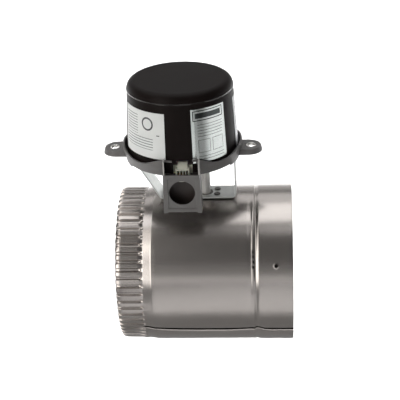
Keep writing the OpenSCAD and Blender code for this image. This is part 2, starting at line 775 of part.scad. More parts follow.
module base_tray() {
    side_in = -box_wall;
    cavity_back = box_back - floor_t;
    color("#6d6c6a") at_house() union() {
        rim_strips();
        difference() {
            union() {
                rod(tray_low_r, tray_z, floor_top);
                intersection() {
                    translate([0, 0, tray_z]) rotate_extrude() polygon([
                        [tray_low_r - rim_t, 0], [tray_low_r, 0], [tray_rim_r, rim_flare_h],
                        [tray_rim_r, rim_box_h + cut], [tray_rim_r - rim_t, rim_box_h + cut],
                        [tray_rim_r - rim_t, rim_flare_h], [cover_low_r + rest_gap, floor_t]]);
                    translate([0, tray_rim_r + cut, tray_z - cut]) rotate([90, 0, 0])
                        linear_extrude(2 * tray_rim_r + 2 * cut) polygon(concat(
                            [[rim_wave_end * rim_scale, 0], [-rim_wave_end * rim_scale, 0]],
                            [for (i = [len(rim_wave) - 1 : -1 : 0])
                                [-rim_wave[i][0] * rim_scale, rim_wave[i][1] + cut]],
                            [for (i = [1 : len(rim_wave) - 1])
                                [rim_wave[i][0] * rim_scale, rim_wave[i][1] + cut]]));
                }
                for (s = [0, 180])
                    rotate([0, 0, s]) translate([0, 0, ear_top_z]) difference() {
                        ear_body(0, ear_h);
                        translate([0, 0, -ear_wall]) ear_body(-ear_wall * 0.9, ear_h);
                        translate([0, 0, -ear_top_h]) cylinder(r1 = tray_low_r - rim_t / 2,
                            r2 = tray_rim_r - rim_t / 2, h = rim_flare_h);
                    }
                for (s = [-30, 150])
                    rotate([0, 0, s]) translate([0, 0, tray_z - floor_t]) rotate_extrude(angle = 60)
                        polygon([[tray_low_r - 2 * rim_t / 1.8, 0], [tray_low_r - rim_t / 9, 0],
                            [tray_low_r - rim_t / 9, floor_t + join],
                            [tray_low_r - 2 * rim_t / 1.8, floor_t + join]]);
                for (p = foot_screws)
                    translate([p[0] + housing_offset, p[1], 0])
                        rod(boss_r, floor_top - join, floor_top + boss_h);
                // the conduit box: side walls, lower wall, front and rear walls
                difference() {
                    box_slab(box_front, cavity_back) box_outline(0);
                    box_slab(box_front - floor_t, box_back) box_outline(side_in);
                    translate([box_x - box_top_w / 2 - side_in, -box_front - cut,
                        tray_z + front_wall_h])
                        cube([box_top_w + 2 * side_in, box_front - cavity_back + 2 * cut,
                            post_h + cut]);
                    translate([-tray_rim_r, -cover_clear_r, tray_z + floor_t])
                        cube([2 * tray_rim_r, cover_clear_r, post_h + cut]);
                    translate([0, 0, floor_top])
                        cylinder(r = tray_rim_r - rim_t, h = post_h + cut);
                }
                for (s = [-1, 1])
                    translate([box_x + s * (box_low_w / 2 - frame_w / 2) - frame_w / 2,
                        -box_front, box_low_z - rib_drop])
                        cube([frame_w, box_front - box_back, rib_drop + join]);
                // the upright panel that holds the harness socket
                box_slab(box_back, cavity_back) translate([-panel_w / 2, box_drop])
                    square([panel_w, panel_h]);
            }
            // the recessed panel inside the frame on the front face
            box_slab(box_front + cut, box_front - frame_h)
                translate([-box_top_w / 2 + frame_w - cut / 2, frame_w * 0.8])
                    square([box_top_w - 2 * frame_w + cut, box_drop + front_wall_h - frame_w * 1.7]);
            translate([box_x, 0, conduit_z]) rotate([90, 0, 0])
                rod(conduit_d / 2, box_back + floor_t / 2, box_front + cut);
            // the open way between the box and the cover
            box_slab(box_front - floor_t, box_back) intersection() {
                box_outline(side_in);
                translate([-box_low_w, box_drop - cut]) square([2 * box_low_w, post_h + 3 * cut]);
            }
            // the socket's window, with the leads' way up behind it
            translate([socket_x - socket_w / 2 - run_gap, -box_back - cut,
                tray_z + socket_top_h - socket_h - run_gap])
                cube([socket_w + 2 * run_gap, box_back - socket_back + 2 * cut
                    + 2 * lead_bend_r, socket_h + 2 * run_gap]);
            translate([socket_x - tower_w / 2 - run_gap, -box_back - cut,
                tray_z + socket_top_h])
                cube([tower_w + 2 * run_gap, floor_t + 3 * cut, panel_h]);
            translate([housing_offset, 0, 0]) rod(bush_body_d / 2 + run_gap, tray_z - cut,
                floor_top + cut);
            for (s = [0, 180])
                rotate([0, 0, s]) translate([ear_hole_x, 0, 0]) {
                    rod(ear_hole_d / 2 + eyelet_wall + rest_gap, ear_low_z, ear_top_z + cut);
                    rod(ear_recess_d / 2 - rest_gap, ear_top_z - ear_recess_h, ear_top_z + cut);
                }
            for (p = foot_screws)
                translate([p[0] + housing_offset, p[1], 0])
                    rod(screw_d / 2 + rest_gap, tray_z - cut, floor_top + screw_reach + join);
            for (a = post_dirs)
                rotate([0, 0, a]) translate([posts_r, 0, 0])
                    rod(small_d / 2 + run_gap, tray_z - cut, floor_top + cut);
            for (a = [cover_boss_deg, cover_boss_deg - 180])
                rotate([0, 0, a]) translate([cover_boss_x, 0, 0])
                    rod(screw_d / 2 + run_gap, tray_z - cut, floor_top + cut);
            for (s = [0, -90])
                translate([housing_offset, 0, 0]) rotate([0, 0, s])
                    for (y = [-1, 1])
                        translate([-switch_x - switch_d / 2, y * switch_l * 0.24, 0])
                            rod(tiny_d / 2 + rest_gap, tray_z - cut, floor_top + cut);
        }
    }
}

module bracket_screws() {
    color("#9b9b99") at_shaft()
        for (p = foot_screws)
            translate([p[0], p[1], foot_top_z - strap_t - rest_gap]) pan_screw(
                screw_d, screw_head_d, screw_head_h, strap_t + floor_t + screw_reach);
}

// A screw with its head under the plane z = 0 and its shank going up
module pan_screw(d, head_d, head_h, reach) {
    difference() {
        union() {
            rod(head_d / 2, -head_h * 0.6, 0);
            translate([0, 0, -head_h]) cylinder(r1 = head_d * 0.36, r2 = head_d / 2,
                h = head_h * 0.4 + join / 20);
            rod(d / 2, -join, reach);
        }
        for (a = [0, 90])
            rotate([0, 0, a]) translate([-head_d * 0.25, -d * 0.11, -head_h - cut])
                cube([head_d * 0.5, d * 0.22, cut + head_h * 0.5]);
    }
}

module floor_bushing() {
    color("#c9c2a8") at_shaft() difference() {
        union() {
            rod(bush_body_d / 2, tray_z - join, floor_top + join);
            rod(floor_bush_d / 2, floor_top + rest_gap, floor_top + rest_gap + bush_flange_t);
        }
        rod(shaft_r + run_gap, tray_z - cut, floor_top + bush_flange_t + cut);
    }
}

module ear_eyelets() {
    seat_z = ear_top_z - ear_recess_h + rest_gap;
    flange_r = ear_hole_d / 2 + eyelet_flange;
    color("#b5b3ad") at_house()
        for (s = [0, 180])
            rotate([0, 0, s]) translate([ear_hole_x, 0, 0]) {
                tube(ear_hole_d / 2 + eyelet_wall, ear_hole_d / 2, ear_top_z - ear_wall
                    - rest_gap - eyelet_wall / 2, seat_z + eyelet_wall / 2);
                tube(flange_r, ear_hole_d / 2, seat_z, seat_z + eyelet_wall / 2);
                tube(flange_r, ear_hole_d / 2, ear_top_z - ear_wall - rest_gap
                    - eyelet_wall / 2, ear_top_z - ear_wall - rest_gap);
            }
}

// Half section of the cover's outside, moved in by inset
module cover_section(inset, low) {
    side = inset / cos(cover_slope);
    rim = cover_low_r - side - (low - cover_low_z) * tan(cover_slope);
    edge = cover_edge_r - inset;
    polygon([[0, low], [rim, low],
        [cover_cr + edge * cos(cover_slope), cover_cz + edge * sin(cover_slope)],
        [cover_cr, cover_cz], [cover_cr, cover_cz + edge], [0, cover_cz + edge]]);
    intersection() {
        translate([cover_cr, cover_cz]) circle(r = edge);
        translate([cover_cr, cover_cz]) square([2 * edge, 2 * edge]);
    }
}

module cover() {
    color("#2a2826") at_house() difference() {
        rotate_extrude() cover_section(0, cover_low_z);
        difference() {
            rotate_extrude() cover_section(cover_wall, cover_low_z - cut);
            for (a = [cover_boss_deg, cover_boss_deg - 180])
                rotate([0, 0, a]) {
                    translate([cover_boss_x, 0, 0])
                        rod(boss_r, cover_low_z, cover_low_z + cover_boss_h);
                    translate([cover_boss_x, -cover_wall / 2, cover_low_z])
                        cube([cover_low_r - cover_boss_x, cover_wall, cover_boss_h]);
                }
        }
        for (a = [cover_boss_deg, cover_boss_deg - 180])
            rotate([0, 0, a]) translate([cover_boss_x, 0, 0])
                rod(screw_d / 2 + rest_gap, cover_low_z - cut, cover_low_z + 2 * screw_reach
                    + screw_d);
        translate([socket_x - wing_w / 2 - free_gap, -cover_low_r - cut, cover_low_z - cut])
            cube([wing_w + 2 * free_gap, cover_low_r * 0.3, tray_z + notch_low_h
                - cover_low_z + cut]);
        translate([socket_x - notch_top_w / 2, -cover_low_r - cut, cover_low_z - cut])
            cube([notch_top_w, cover_low_r * 0.3, tray_z + notch_top_h - cover_low_z + cut]);
    }
}

module cover_screws() {
    color("#9b9b99") at_house()
        for (a = [cover_boss_deg, cover_boss_deg - 180])
            rotate([0, 0, a]) translate([cover_boss_x, 0, tray_z - rest_gap])
                pan_screw(screw_d, screw_head_d, screw_head_h, floor_t + 2 * screw_reach);
}

// A label on the cover's sloping side
module label_patch(from, turn, low_h, top_h) {
    low = tray_z + low_h;
    top = tray_z + top_h;
    r_low = cover_low_r - (low - cover_low_z) * tan(cover_slope) + rest_gap;
    r_top = cover_low_r - (top - cover_low_z) * tan(cover_slope) + rest_gap;
    at_house() rotate([0, 0, from]) rotate_extrude(angle = turn) polygon([
        [r_low, low], [r_low + label_t, low], [r_top + label_t, top], [r_top, top]]);
}

module paper_label() {
    color("#d8dad6") label_patch(paper_from_deg, paper_deg, paper_low_h, paper_top_h);
}

module metal_label() {
    color("#b9c0c2") label_patch(metal_from_deg, metal_deg, metal_low_h, metal_top_h);
}

module side_label() {
    color("#d5d8dc") label_patch(strip_from_deg, strip_deg, strip_low_h, strip_top_h);
}

module harness_socket() {
    color("#cfd0c2") at_house() translate([socket_x, 0, 0]) difference() {
        union() {
            translate([-socket_w / 2, -socket_front, socket_top_z - socket_h])
                cube([socket_w, socket_front - socket_back, socket_h]);
            translate([-tower_w / 2, 0, 0]) rotate([90, 0, 90]) linear_extrude(tower_w)
                polygon([[-socket_front + tower_h / 3, socket_top_z - join],
                    [-socket_front + tower_h / 3, socket_top_z + join],
                    [-box_back - wing_t, socket_top_z + tower_h],
                    [-socket_back, socket_top_z + tower_h],
                    [-socket_back, socket_top_z - join]]);
            translate([-wing_w / 2, -box_back - rest_gap - wing_t, socket_top_z - wing_h + join * 8])
                cube([wing_w, wing_t, wing_h]);
        }
        for (k = [0 : pin_count - 1])
            translate([(k - (pin_count - 1) / 2) * cell_pitch - (cell_pitch - socket_wall * 0.6) / 2,
                -socket_front - cut, socket_top_z - socket_h + socket_wall])
                cube([cell_pitch - socket_wall * 0.6, socket_depth + cut,
                    socket_h - 2 * socket_wall]);
        for (k = [0 : pin_count - 1])
            translate([(k - (pin_count - 1) / 2) * cell_pitch, 0, socket_top_z - socket_h / 2])
                rotate([90, 0, 0]) rod(pin_d / 2 + rest_gap, socket_back - cut, socket_front);
    }
}

module socket_pins() {
    color("#a08a5c") at_house() translate([socket_x, 0, socket_top_z - socket_h / 2])
        for (k = [0 : pin_count - 1])
            translate([(k - (pin_count - 1) / 2) * cell_pitch, 0, 0]) rotate([90, 0, 0])
                rod(pin_d / 2, socket_back, socket_front - socket_wall);
}

// A quarter bend of a lead, in the plane across the pipe
module lead_arc(from) {
    rotate([90, 0, 90]) rotate([0, 0, from]) rotate_extrude(angle = 90)
        translate([lead_bend_r, 0]) circle(r = lead_d / 2);
}

module harness_leads() {
    first_y = -socket_back + rest_gap;
    rise_y = first_y + lead_bend_r;
    last_y = rise_y + lead_bend_r;
    color("#5d5f66") at_house()
        for (k = [0 : pin_count - 1])
            translate([socket_x + (k - (pin_count - 1) / 2) * cell_pitch, 0, 0]) {
                translate([0, first_y, lead_low_z + lead_bend_r]) lead_arc(-90);
                translate([0, rise_y, 0]) rod(lead_d / 2, lead_low_z + lead_bend_r,
                    lead_top_z - lead_bend_r);
                translate([0, last_y, lead_top_z - lead_bend_r]) lead_arc(90);
                translate([0, last_y, lead_top_z]) rotate([-90, 0, 0])
                    rod(lead_d / 2, 0, -board_front - rest_gap - last_y);
            }
}

module motor_plate() {
    color("#b0aea8") at_house() difference() {
        rod(plate_r, plate_low_z, plate_top_z);
        translate([0, pinion_y, 0]) rod(motor_shaft_d, plate_low_z - cut, plate_top_z + cut);
        for (a = post_dirs)
            rotate([0, 0, a]) translate([posts_r, 0, 0])
                rod(small_d / 2 + run_gap, plate_low_z - cut, plate_top_z + cut);
        for (s = [-1, 1])
            translate([motor_x + s * lug_x, motor_y, 0])
                rod(small_d / 2 + run_gap, plate_low_z - cut, plate_top_z + cut);
    }
}

module hex_post(z0, z1) {
    translate([0, 0, z0]) difference() {
        linear_extrude(z1 - z0) circle(d = post_af / cos(30), $fn = 6);
        translate([0, 0, -cut]) cylinder(r = small_d / 2 + rest_gap, h = z1 - z0 + 2 * cut);
    }
}

module plate_posts() {
    color("#b8a35a") at_house()
        for (a = post_dirs)
            rotate([0, 0, a]) translate([posts_r, 0, 0])
                hex_post(floor_top + rest_gap, plate_low_z - rest_gap);
}

module post_screws() {
    color("#9b9b99") at_house()
        for (a = post_dirs)
            rotate([0, 0, a]) translate([posts_r, 0, tray_z - rest_gap])
                pan_screw(small_d, small_head_d, small_head_h, floor_t + screw_reach);
}

module motor_case() {
    color("#8f8f8c") at_house() difference() {
        union() {
            translate([motor_x, motor_y, 0])
                rod(motor_r, plate_top_z + rest_gap, plate_top_z + case_h);
            translate([motor_x, motor_y, 0])
                for (s = [-1, 1])
                    translate([s * lug_x, 0, 0])
                        rod(lug_r, plate_top_z + rest_gap, plate_top_z + rest_gap + lug_t);
            translate([motor_x - lug_x, motor_y - lug_r, plate_top_z + rest_gap])
                cube([2 * lug_x, 2 * lug_r, lug_t]);
        }
        translate([0, pinion_y, 0])
            rod(motor_shaft_d / 2 + run_gap, plate_top_z - cut, plate_top_z + case_h * 0.7);
        translate([motor_x, motor_y, 0])
            for (s = [-1, 1])
                translate([s * lug_x, 0, 0])
                    rod(small_d / 2 + run_gap, plate_top_z - cut, plate_top_z + lug_t + cut);
    }
}

module motor_can() {
    z0 = plate_top_z + case_h + rest_gap;
    color("#9a9a98") at_house() translate([motor_x, motor_y, 0]) difference() {
        rod(motor_r - floor_t / 4, z0, z0 + motor_h);
        tube(motor_r + cut, motor_r - floor_t / 2, z0 + motor_h * 0.42, z0 + motor_h * 0.5);
        tube(motor_r * 0.45, motor_r * 0.38, z0 + motor_h - floor_t / 3,
            z0 + motor_h + cut);
    }
}

module motor_screws() {
    color("#9b9b99") at_house() translate([motor_x, motor_y, 0])
        for (s = [-1, 1])
            translate([s * lug_x, 0, plate_top_z + lug_t + 2 * rest_gap]) rotate([180, 0, 0])
                pan_screw(small_d, small_head_d, small_head_h, lug_t + plate_t + floor_t);
}

function involute(a) = tan(a) * deg_per_rad - a;
function flank_turn(r, base) = r > base ? involute(acos(base / r)) : 0;

// Outline of a spur gear; every tooth is thinned by tooth_thin on each flank
function gear_points(teeth, add, ded) =
    let (r = gear_module * teeth / 2)
    let (base = r * cos(tooth_angle))
    let (half = 90 / teeth - tooth_thin / r * deg_per_rad + involute(tooth_angle))
    let (root = r - ded * gear_module)
    let (tip = r + add * gear_module)
    let (rr = [root, max(base, root + (r - root) * 0.45), r, (r + tip) / 2, tip])
    [for (i = [0 : teeth - 1])
        for (k = [0 : 2 * len(rr) - 1])
            let (q = k < len(rr) ? rr[k] : rr[2 * len(rr) - 1 - k])
            let (w = half - flank_turn(q, base))
            let (turn = i * 360 / teeth + (k < len(rr) ? -w : w))
            [q * cos(turn), q * sin(turn)]];

module motor_pinion() {
    step = 180 / pinion_teeth;
    color("#d9d6c8") at_house() translate([0, pinion_y, 0]) {
        translate([0, 0, wheel_z - pinion_over]) rotate([0, 0, pinion_dir + 180 + step])
            linear_extrude(wheel_t + 2 * pinion_over)
                polygon(gear_points(pinion_teeth, 0.85, 1.2));
        rod(motor_shaft_d / 2, wheel_z, plate_top_z + case_h * 0.6);
    }
}

module drive_gear() {
    color("#d9d6c8") at_shaft() difference() {
        union() {
            translate([0, 0, wheel_z]) rotate([0, 0, pinion_dir]) linear_extrude(wheel_t)
                polygon(gear_points(wheel_teeth, 0.85, 1.2));
            rod(hub_r, wheel_z, wheel_z + wheel_t + hub_h);
        }
        rod(shaft_r + rest_gap, wheel_z - cut, wheel_z + wheel_t + hub_h + cut);
        for (k = [0 : 5])
            rotate([0, 0, k * 60 + 30]) translate([(hub_r + wheel_r) / 2 - gear_module / 2, 0, 0])
                rod(gear_module * 1.9, wheel_z - cut, wheel_z + wheel_t + cut);
        translate([0, 0, cross_pin_z]) rotate([90, 0, 0])
            rod(cross_pin_d / 2 + rest_gap, -hub_r - cut, hub_r + cut);
    }
}

module cross_pin() {
    color("#7b7c7e") at_shaft() translate([0, 0, cross_pin_z]) rotate([90, 0, 0])
        tube(cross_pin_d / 2, cross_pin_d / 4, -hub_r * 0.98, hub_r * 0.98);
}

function cam_radius(a) = a <= 180 ? cam_r - cam_fall * (1 - abs(a - 90) / 90) : cam_r;

module switch_cam() {
    color("#c94f2e") at_shaft() translate([0, 0, cam_z]) difference() {
        linear_extrude(cam_t) polygon([for (i = [0 : 59])
            cam_radius(i * 6) * [cos(i * 6), sin(i * 6)]]);
        translate([0, 0, -cut]) cylinder(r = shaft_r + rest_gap, h = cam_t + 2 * cut);
    }
}

// A switch that faces the shaft from the left; the open switch is turned by a quarter
module switch_body() {
    cheek = (switch_t - lever_w) / 2 - free_gap;
    translate([0, 0, switch_z]) difference() {
        union() {
            translate([-switch_x - switch_d, -switch_l / 2, 0])
                cube([switch_d, switch_l, switch_t]);
            for (z = [0, switch_t - cheek])
                translate([-switch_x - join, -lever_hinge - switch_d / 10, z])
                    cube([join + switch_x - hinge_x + lever_t, switch_d / 5, cheek]);
        }
        translate([-switch_x - button_l - free_gap, -button_w / 2 - free_gap,
            switch_t / 2 - button_w / 2 - free_gap])
            cube([button_l + free_gap + cut, button_w + 2 * free_gap,
                button_w + 2 * free_gap]);
        for (y = [-1, 1])
            translate([-switch_x - switch_d / 2, y * switch_l * 0.24, -cut])
                cylinder(r = tiny_d / 2 + rest_gap, h = switch_t + 2 * cut);
    }
}

module switch_lever(turn) {
    translate([-hinge_x, -lever_hinge, switch_z + (switch_t - lever_w) / 2])
        rotate([0, 0, turn]) {
            cylinder(r = lever_t, h = lever_w);
            translate([-lever_t / 2, 0, 0]) cube([lever_t, lever_hinge * 1.9, lever_w]);
            translate([hinge_x - cam_r - free_gap - bump_r, lever_hinge + bump_r, 0])
                {
                    cylinder(r = bump_r, h = lever_w);
                    translate([-bump_r, -bump_r, 0]) cube([bump_r, 2 * bump_r, lever_w]);
                }
        }
}

module switch_button(out) {
    translate([-switch_x - button_l + (switch_x - button_x) + out,
        -button_w / 2, switch_z + switch_t / 2 - button_w / 2])
        cube([button_l, button_w, button_w]);
}

module closed_switch() {
    color("#2d2f33") at_shaft() switch_body();
}

module open_switch() {
    color("#2d2f33") at_shaft() rotate([0, 0, -90]) switch_body();
}

module closed_lever() {
    color("#bfbcb4") at_shaft() switch_lever(0);
}

module open_lever() {
    color("#bfbcb4") at_shaft() rotate([0, 0, -90]) switch_lever(-lever_turn);
}

module closed_button() {
    color("#a33b2a") at_shaft() switch_button(0);
}

module open_button() {
    color("#a33b2a") at_shaft() rotate([0, 0, -90]) switch_button(button_stroke);
}

module switch_screws() {
    color("#9b9b99") at_shaft()
        for (s = [0, -90])
            rotate([0, 0, s])
                for (y = [-1, 1])
                    translate([-switch_x - switch_d / 2, y * switch_l * 0.24,
                        switch_z + switch_t + rest_gap])
                        rotate([180, 0, 0])
                            pan_screw(tiny_d, tiny_head_d, tiny_head_h, switch_t + floor_t);
}

module circuit_board() {
    color("#3d6b46") at_house() difference() {
        intersection() {
            rod(board_r, board_z, board_top_z);
            translate([-board_r - cut, -board_front, board_z - cut])
                cube([2 * board_r + 2 * cut, board_front + board_r + cut, board_t + 2 * cut]);
        }
        for (a = post_dirs)
            rotate([0, 0, a]) translate([posts_r, 0, 0])
                rod(small_d / 2 + run_gap, board_z - cut, board_top_z + cut);
    }
}

module board_standoffs() {
    color("#b8a35a") at_house()
        for (a = post_dirs)
            rotate([0, 0, a]) translate([posts_r, 0, 0]) {
                difference() {
                    translate([0, 0, plate_top_z + rest_gap])
                        linear_extrude(board_h - 2 * rest_gap)
                            circle(d = post_af / cos(30), $fn = 6);
                    rod(small_d / 2 + rest_gap, board_z - 2 * screw_reach, board_z + cut);
                }
                rod(small_d / 2, plate_low_z - screw_reach, plate_top_z + join);
            }
}

module board_screws() {
    color("#9b9b99") at_house()
        for (a = post_dirs)
            rotate([0, 0, a]) translate([posts_r, 0, board_top_z + rest_gap])
                rotate([180, 0, 0])
                    pan_screw(small_d, small_head_d, small_head_h, board_t + screw_reach);
}

module relay() {
    color("#2f6fa5") at_house() translate([-relay_l, -relay_w / 2, board_top_z + rest_gap])
        cube([relay_l, relay_w, relay_h]);
}

module capacitors() {
    color("#3a3f55") at_house()
        for (y = [-1.4, 1.4])
            translate([relay_l * 0.9, y * cap_r, board_top_z + rest_gap])
                cylinder(r = cap_r, h = cap_h);
}

module lead_header() {
    color("#d8d4c4") at_house()
        translate([socket_x - header_w / 2, -board_front, board_top_z + rest_gap])
            cube([header_w, header_d, header_h]);
}

vent_pipe();
damper_blade();
pilot_plug();
damper_shaft();
blade_screws();
upper_bushing();
lower_bushing();
retaining_clip();
bracket();
bracket_rivets();
base_tray();
bracket_screws();
floor_bushing();
ear_eyelets();
cover();
cover_screws();
paper_label();
metal_label();
side_label();
harness_socket();
socket_pins();
harness_leads();
motor_plate();
plate_posts();
post_screws();
motor_case();
motor_can();
motor_screws();
motor_pinion();
drive_gear();
cross_pin();
switch_cam();
closed_switch();
open_switch();
closed_lever();
open_lever();
closed_button();
open_button();
switch_screws();
circuit_board();
board_standoffs();
board_screws();
relay();
capacitors();
lead_header();
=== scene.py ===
# %% [markdown]
# # A vent damper, dressed for its picture
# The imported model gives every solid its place. This file loads it, puts finer meshes and real
# finishes on it, and sets a camera and soft lights. All lengths are metres, so MM turns
# millimetres into them.

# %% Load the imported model
import math

import bmesh
import bpy
import numpy as np
from mathutils import Matrix, Vector


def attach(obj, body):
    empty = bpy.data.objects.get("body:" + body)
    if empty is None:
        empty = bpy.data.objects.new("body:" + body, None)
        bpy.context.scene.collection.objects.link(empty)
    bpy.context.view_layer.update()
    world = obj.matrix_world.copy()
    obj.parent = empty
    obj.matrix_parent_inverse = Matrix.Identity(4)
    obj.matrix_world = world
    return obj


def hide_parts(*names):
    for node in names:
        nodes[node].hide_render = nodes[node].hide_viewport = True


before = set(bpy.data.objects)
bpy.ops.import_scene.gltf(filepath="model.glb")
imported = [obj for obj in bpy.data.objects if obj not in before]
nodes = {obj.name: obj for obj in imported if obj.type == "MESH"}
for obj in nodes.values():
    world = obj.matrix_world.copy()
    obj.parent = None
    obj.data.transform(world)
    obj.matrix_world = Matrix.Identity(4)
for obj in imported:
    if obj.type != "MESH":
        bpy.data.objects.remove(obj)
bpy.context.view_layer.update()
scene = bpy.context.scene
MM = 0.001

# %% [markdown]
# The camera stands a metre in front of the damper, a little to the right of its middle, and
# looks down on it. Its angles were solved from the pipe's outline, not set by eye, so that the
# picture's lines and the model's fall together. Three directions make its rotation matrix.

# %% Camera
YAW, PITCH, ROLL = (math.radians(a) for a in (4.25217, 26.43610, -2.60606))
CAMERA_AT = Vector((-16.812, -992.671, 564.111)) * MM
FOCAL_PIXELS, PICTURE_PIXELS, SENSOR_MM = 1122.671, 400, 36.0
ahead = Vector((-math.sin(YAW) * math.cos(PITCH), math.cos(YAW) * math.cos(PITCH), -math.sin(PITCH)))
level = Vector((math.cos(YAW), math.sin(YAW), 0))
upward = level.cross(ahead)
side = level * math.cos(ROLL) + upward * math.sin(ROLL)
top = upward * math.cos(ROLL) - level * math.sin(ROLL)
camera_data = bpy.data.cameras.new("camera")
camera_data.sensor_width = SENSOR_MM
camera_data.lens = FOCAL_PIXELS / PICTURE_PIXELS * SENSOR_MM
camera_data.clip_end = 20
camera = bpy.data.objects.new("camera", camera_data)
camera.matrix_world = Matrix.Translation(CAMERA_AT) @ Matrix(
    (side, top, -ahead)).transposed().to_4x4()
scene.collection.objects.link(camera)
scene.camera = camera
print("lens:", round(camera_data.lens, 2), "mm")

# %% [markdown]
# Colours are written as sRGB hex, the way a colour picker shows them. Shaders count in linear
# light, so one function turns them. One more adds any node to any tree, which keeps trees short.

# %% Colour and node helpers
def linear(hex_code):
    """An sRGB hex colour as linear RGBA."""
    parts = [int(hex_code[i:i + 2], 16) / 255 for i in (1, 3, 5)]
    return [p / 12.92 if p <= 0.04045 else ((p + 0.055) / 1.055) ** 2.4 for p in parts] + [1.0]


def add(tree, kind, inputs=(), **settings):
    """Adds a node: settings go on the node, inputs are values or links for its sockets."""
    node = tree.nodes.new(kind)
    for key, value in settings.items():
        setattr(node, key, value)
    for key, value in dict(inputs).items():
        if isinstance(value, bpy.types.NodeSocket):
            tree.links.new(value, node.inputs[key])
        else:
            node.inputs[key].default_value = value
    return node


print("mid grey in linear light:", round(linear("#808080")[0], 3))

# %% [markdown]
# The studio is a pale floor well below the damper, with soft boxes overhead and soft panels at
# the left, behind and in front. Low washes close over the floor light it in patches. A shiny pipe
# shows its surroundings, so each panel is there for a band on it: the dark band on its front is
# the dim room over the camera, and the pale band under it is the lit floor.

# %% Floor, lights and room
FLOOR_Z, WASH_Z = -0.7, -0.3
scene.view_settings.view_transform = "Standard"


def soft_panel(name, at, towards, size, watts, tint="#ffffff", spread=180):
    """A rectangular area light that looks at a point; a small spread keeps its light together."""
    data = bpy.data.lights.new(name, "AREA")
    data.shape = "RECTANGLE"
    data.size, data.size_y = size
    data.energy = watts
    data.color = linear(tint)[:3]
    data.spread = math.radians(spread)
    lamp = bpy.data.objects.new(name, data)
    lamp.location = at
    lamp.rotation_euler = (Vector(towards) - Vector(at)).to_track_quat("-Z", "Y").to_euler()
    lamp.visible_camera = False
    scene.collection.objects.link(lamp)


soft_panel("overhead", (-0.25, 0.3, 1.3), (-0.2, 0.0, 0.05), (1.5, 0.86), 6.6)
soft_panel("overhead_front", (0.265, -0.28, 1.35), (0.1, 0.0, 0.05), (0.75, 0.34), 0.5)
soft_panel("left_strip", (-0.88, -0.93, 0.65), (-0.12, 0, 0.65), (0.42, 1.6), 5.4, "#fffcf6")
soft_panel("left_low", (-0.65, -1.16, 0.2), (-0.14, 0, 0.2), (0.3, 0.6), 0.55, "#fffcf6")
soft_panel("left_top", (-0.72, -0.5, 1.2), (-0.15, 0, 0.05), (0.4, 0.5), 1.0, "#fffcf6")
soft_panel("left_wall", (-1.2, -1.35, 0.8), (-0.15, 0, 0.8), (1.5, 2.2), 4.0)
soft_panel("back_left_wall", (-2.3, 1.1, 0.35), (-0.15, 0, 0.1), (2.2, 1.5), 8)
soft_panel("back_right_wall", (2.1, 1.2, 0.35), (-0.15, 0, 0.1), (2.2, 1.5), 7)
soft_panel("rear_wall", (-0.1, 1.55, 1.45), (-0.1, 0, 0.05), (2.6, 0.8), 5.2)
soft_panel("rear_screen", (0, 3.2, -0.3), (0, 0, -0.3), (8, 0.8), 24)
soft_panel("rear_screen_high", (0, 3.2, 0.7), (0, 0, 0.7), (8, 1.2), 13)
soft_panel("front_wall", (0, -6.2, 0.05), (0, 0, 0.05), (7, 1.5), 19)
soft_panel("front_wall_high", (0, -6.2, 1.75), (0, 0, 1.75), (7, 1.9), 5.5)
for name, x, y, size, watts in (("front_wash", 0.405, -3.31, (1.91, 5.5), 47),
                                ("front_left_wash", -1.8, -3.38, (2.4, 5.5), 10),
                                ("rear_wash", 0, 2.2, (6, 3.0), 205),
                                ("left_wash", -2.0, 0.05, (2.4, 1.1), 24),
                                ("right_wash", 2.64, -0.5, (1.72, 2.2), 33)):
    soft_panel(name, (x, y, WASH_Z), (x, y, FLOOR_Z), size, watts, spread=50)

room = bpy.data.worlds.new("room")
room.use_nodes = True
room.node_tree.nodes["Background"].inputs["Color"].default_value = linear("#898887")
room.node_tree.nodes["Background"].inputs["Strength"].default_value = 0.42
scene.world = room

floor_mesh = bpy.data.meshes.new("floor")
floor_mesh.from_pydata([(-6, -5, FLOOR_Z), (6, -5, FLOOR_Z), (6, 7, FLOOR_Z), (-6, 7, FLOOR_Z)],
                       [], [(0, 1, 2, 3)])
floor = bpy.data.objects.new("floor", floor_mesh)
scene.collection.objects.link(floor)

# %% [markdown]
# Every finish starts from the same few nodes: a slow noise for the drift of tone over a surface,
# a fine noise for its grain, and a bump from the grain. What makes one a sheet metal and another
# a moulded plastic is the numbers: grain size in millimetres, its stretch, how far it changes
# roughness, and how deep it is. Object coordinates are used, so the grain keeps its real size.

# %% Finish builder
finishes = {}
TONE_A, TONE_B = 6, 7  # the two colour inputs of a Mix node
GRAIN_SHARE = 0.4  # how much of the tone comes from the grain, the rest from the drift
NOISE = {"From Min": 0.3, "From Max": 0.7}  # where most values of a noise lie


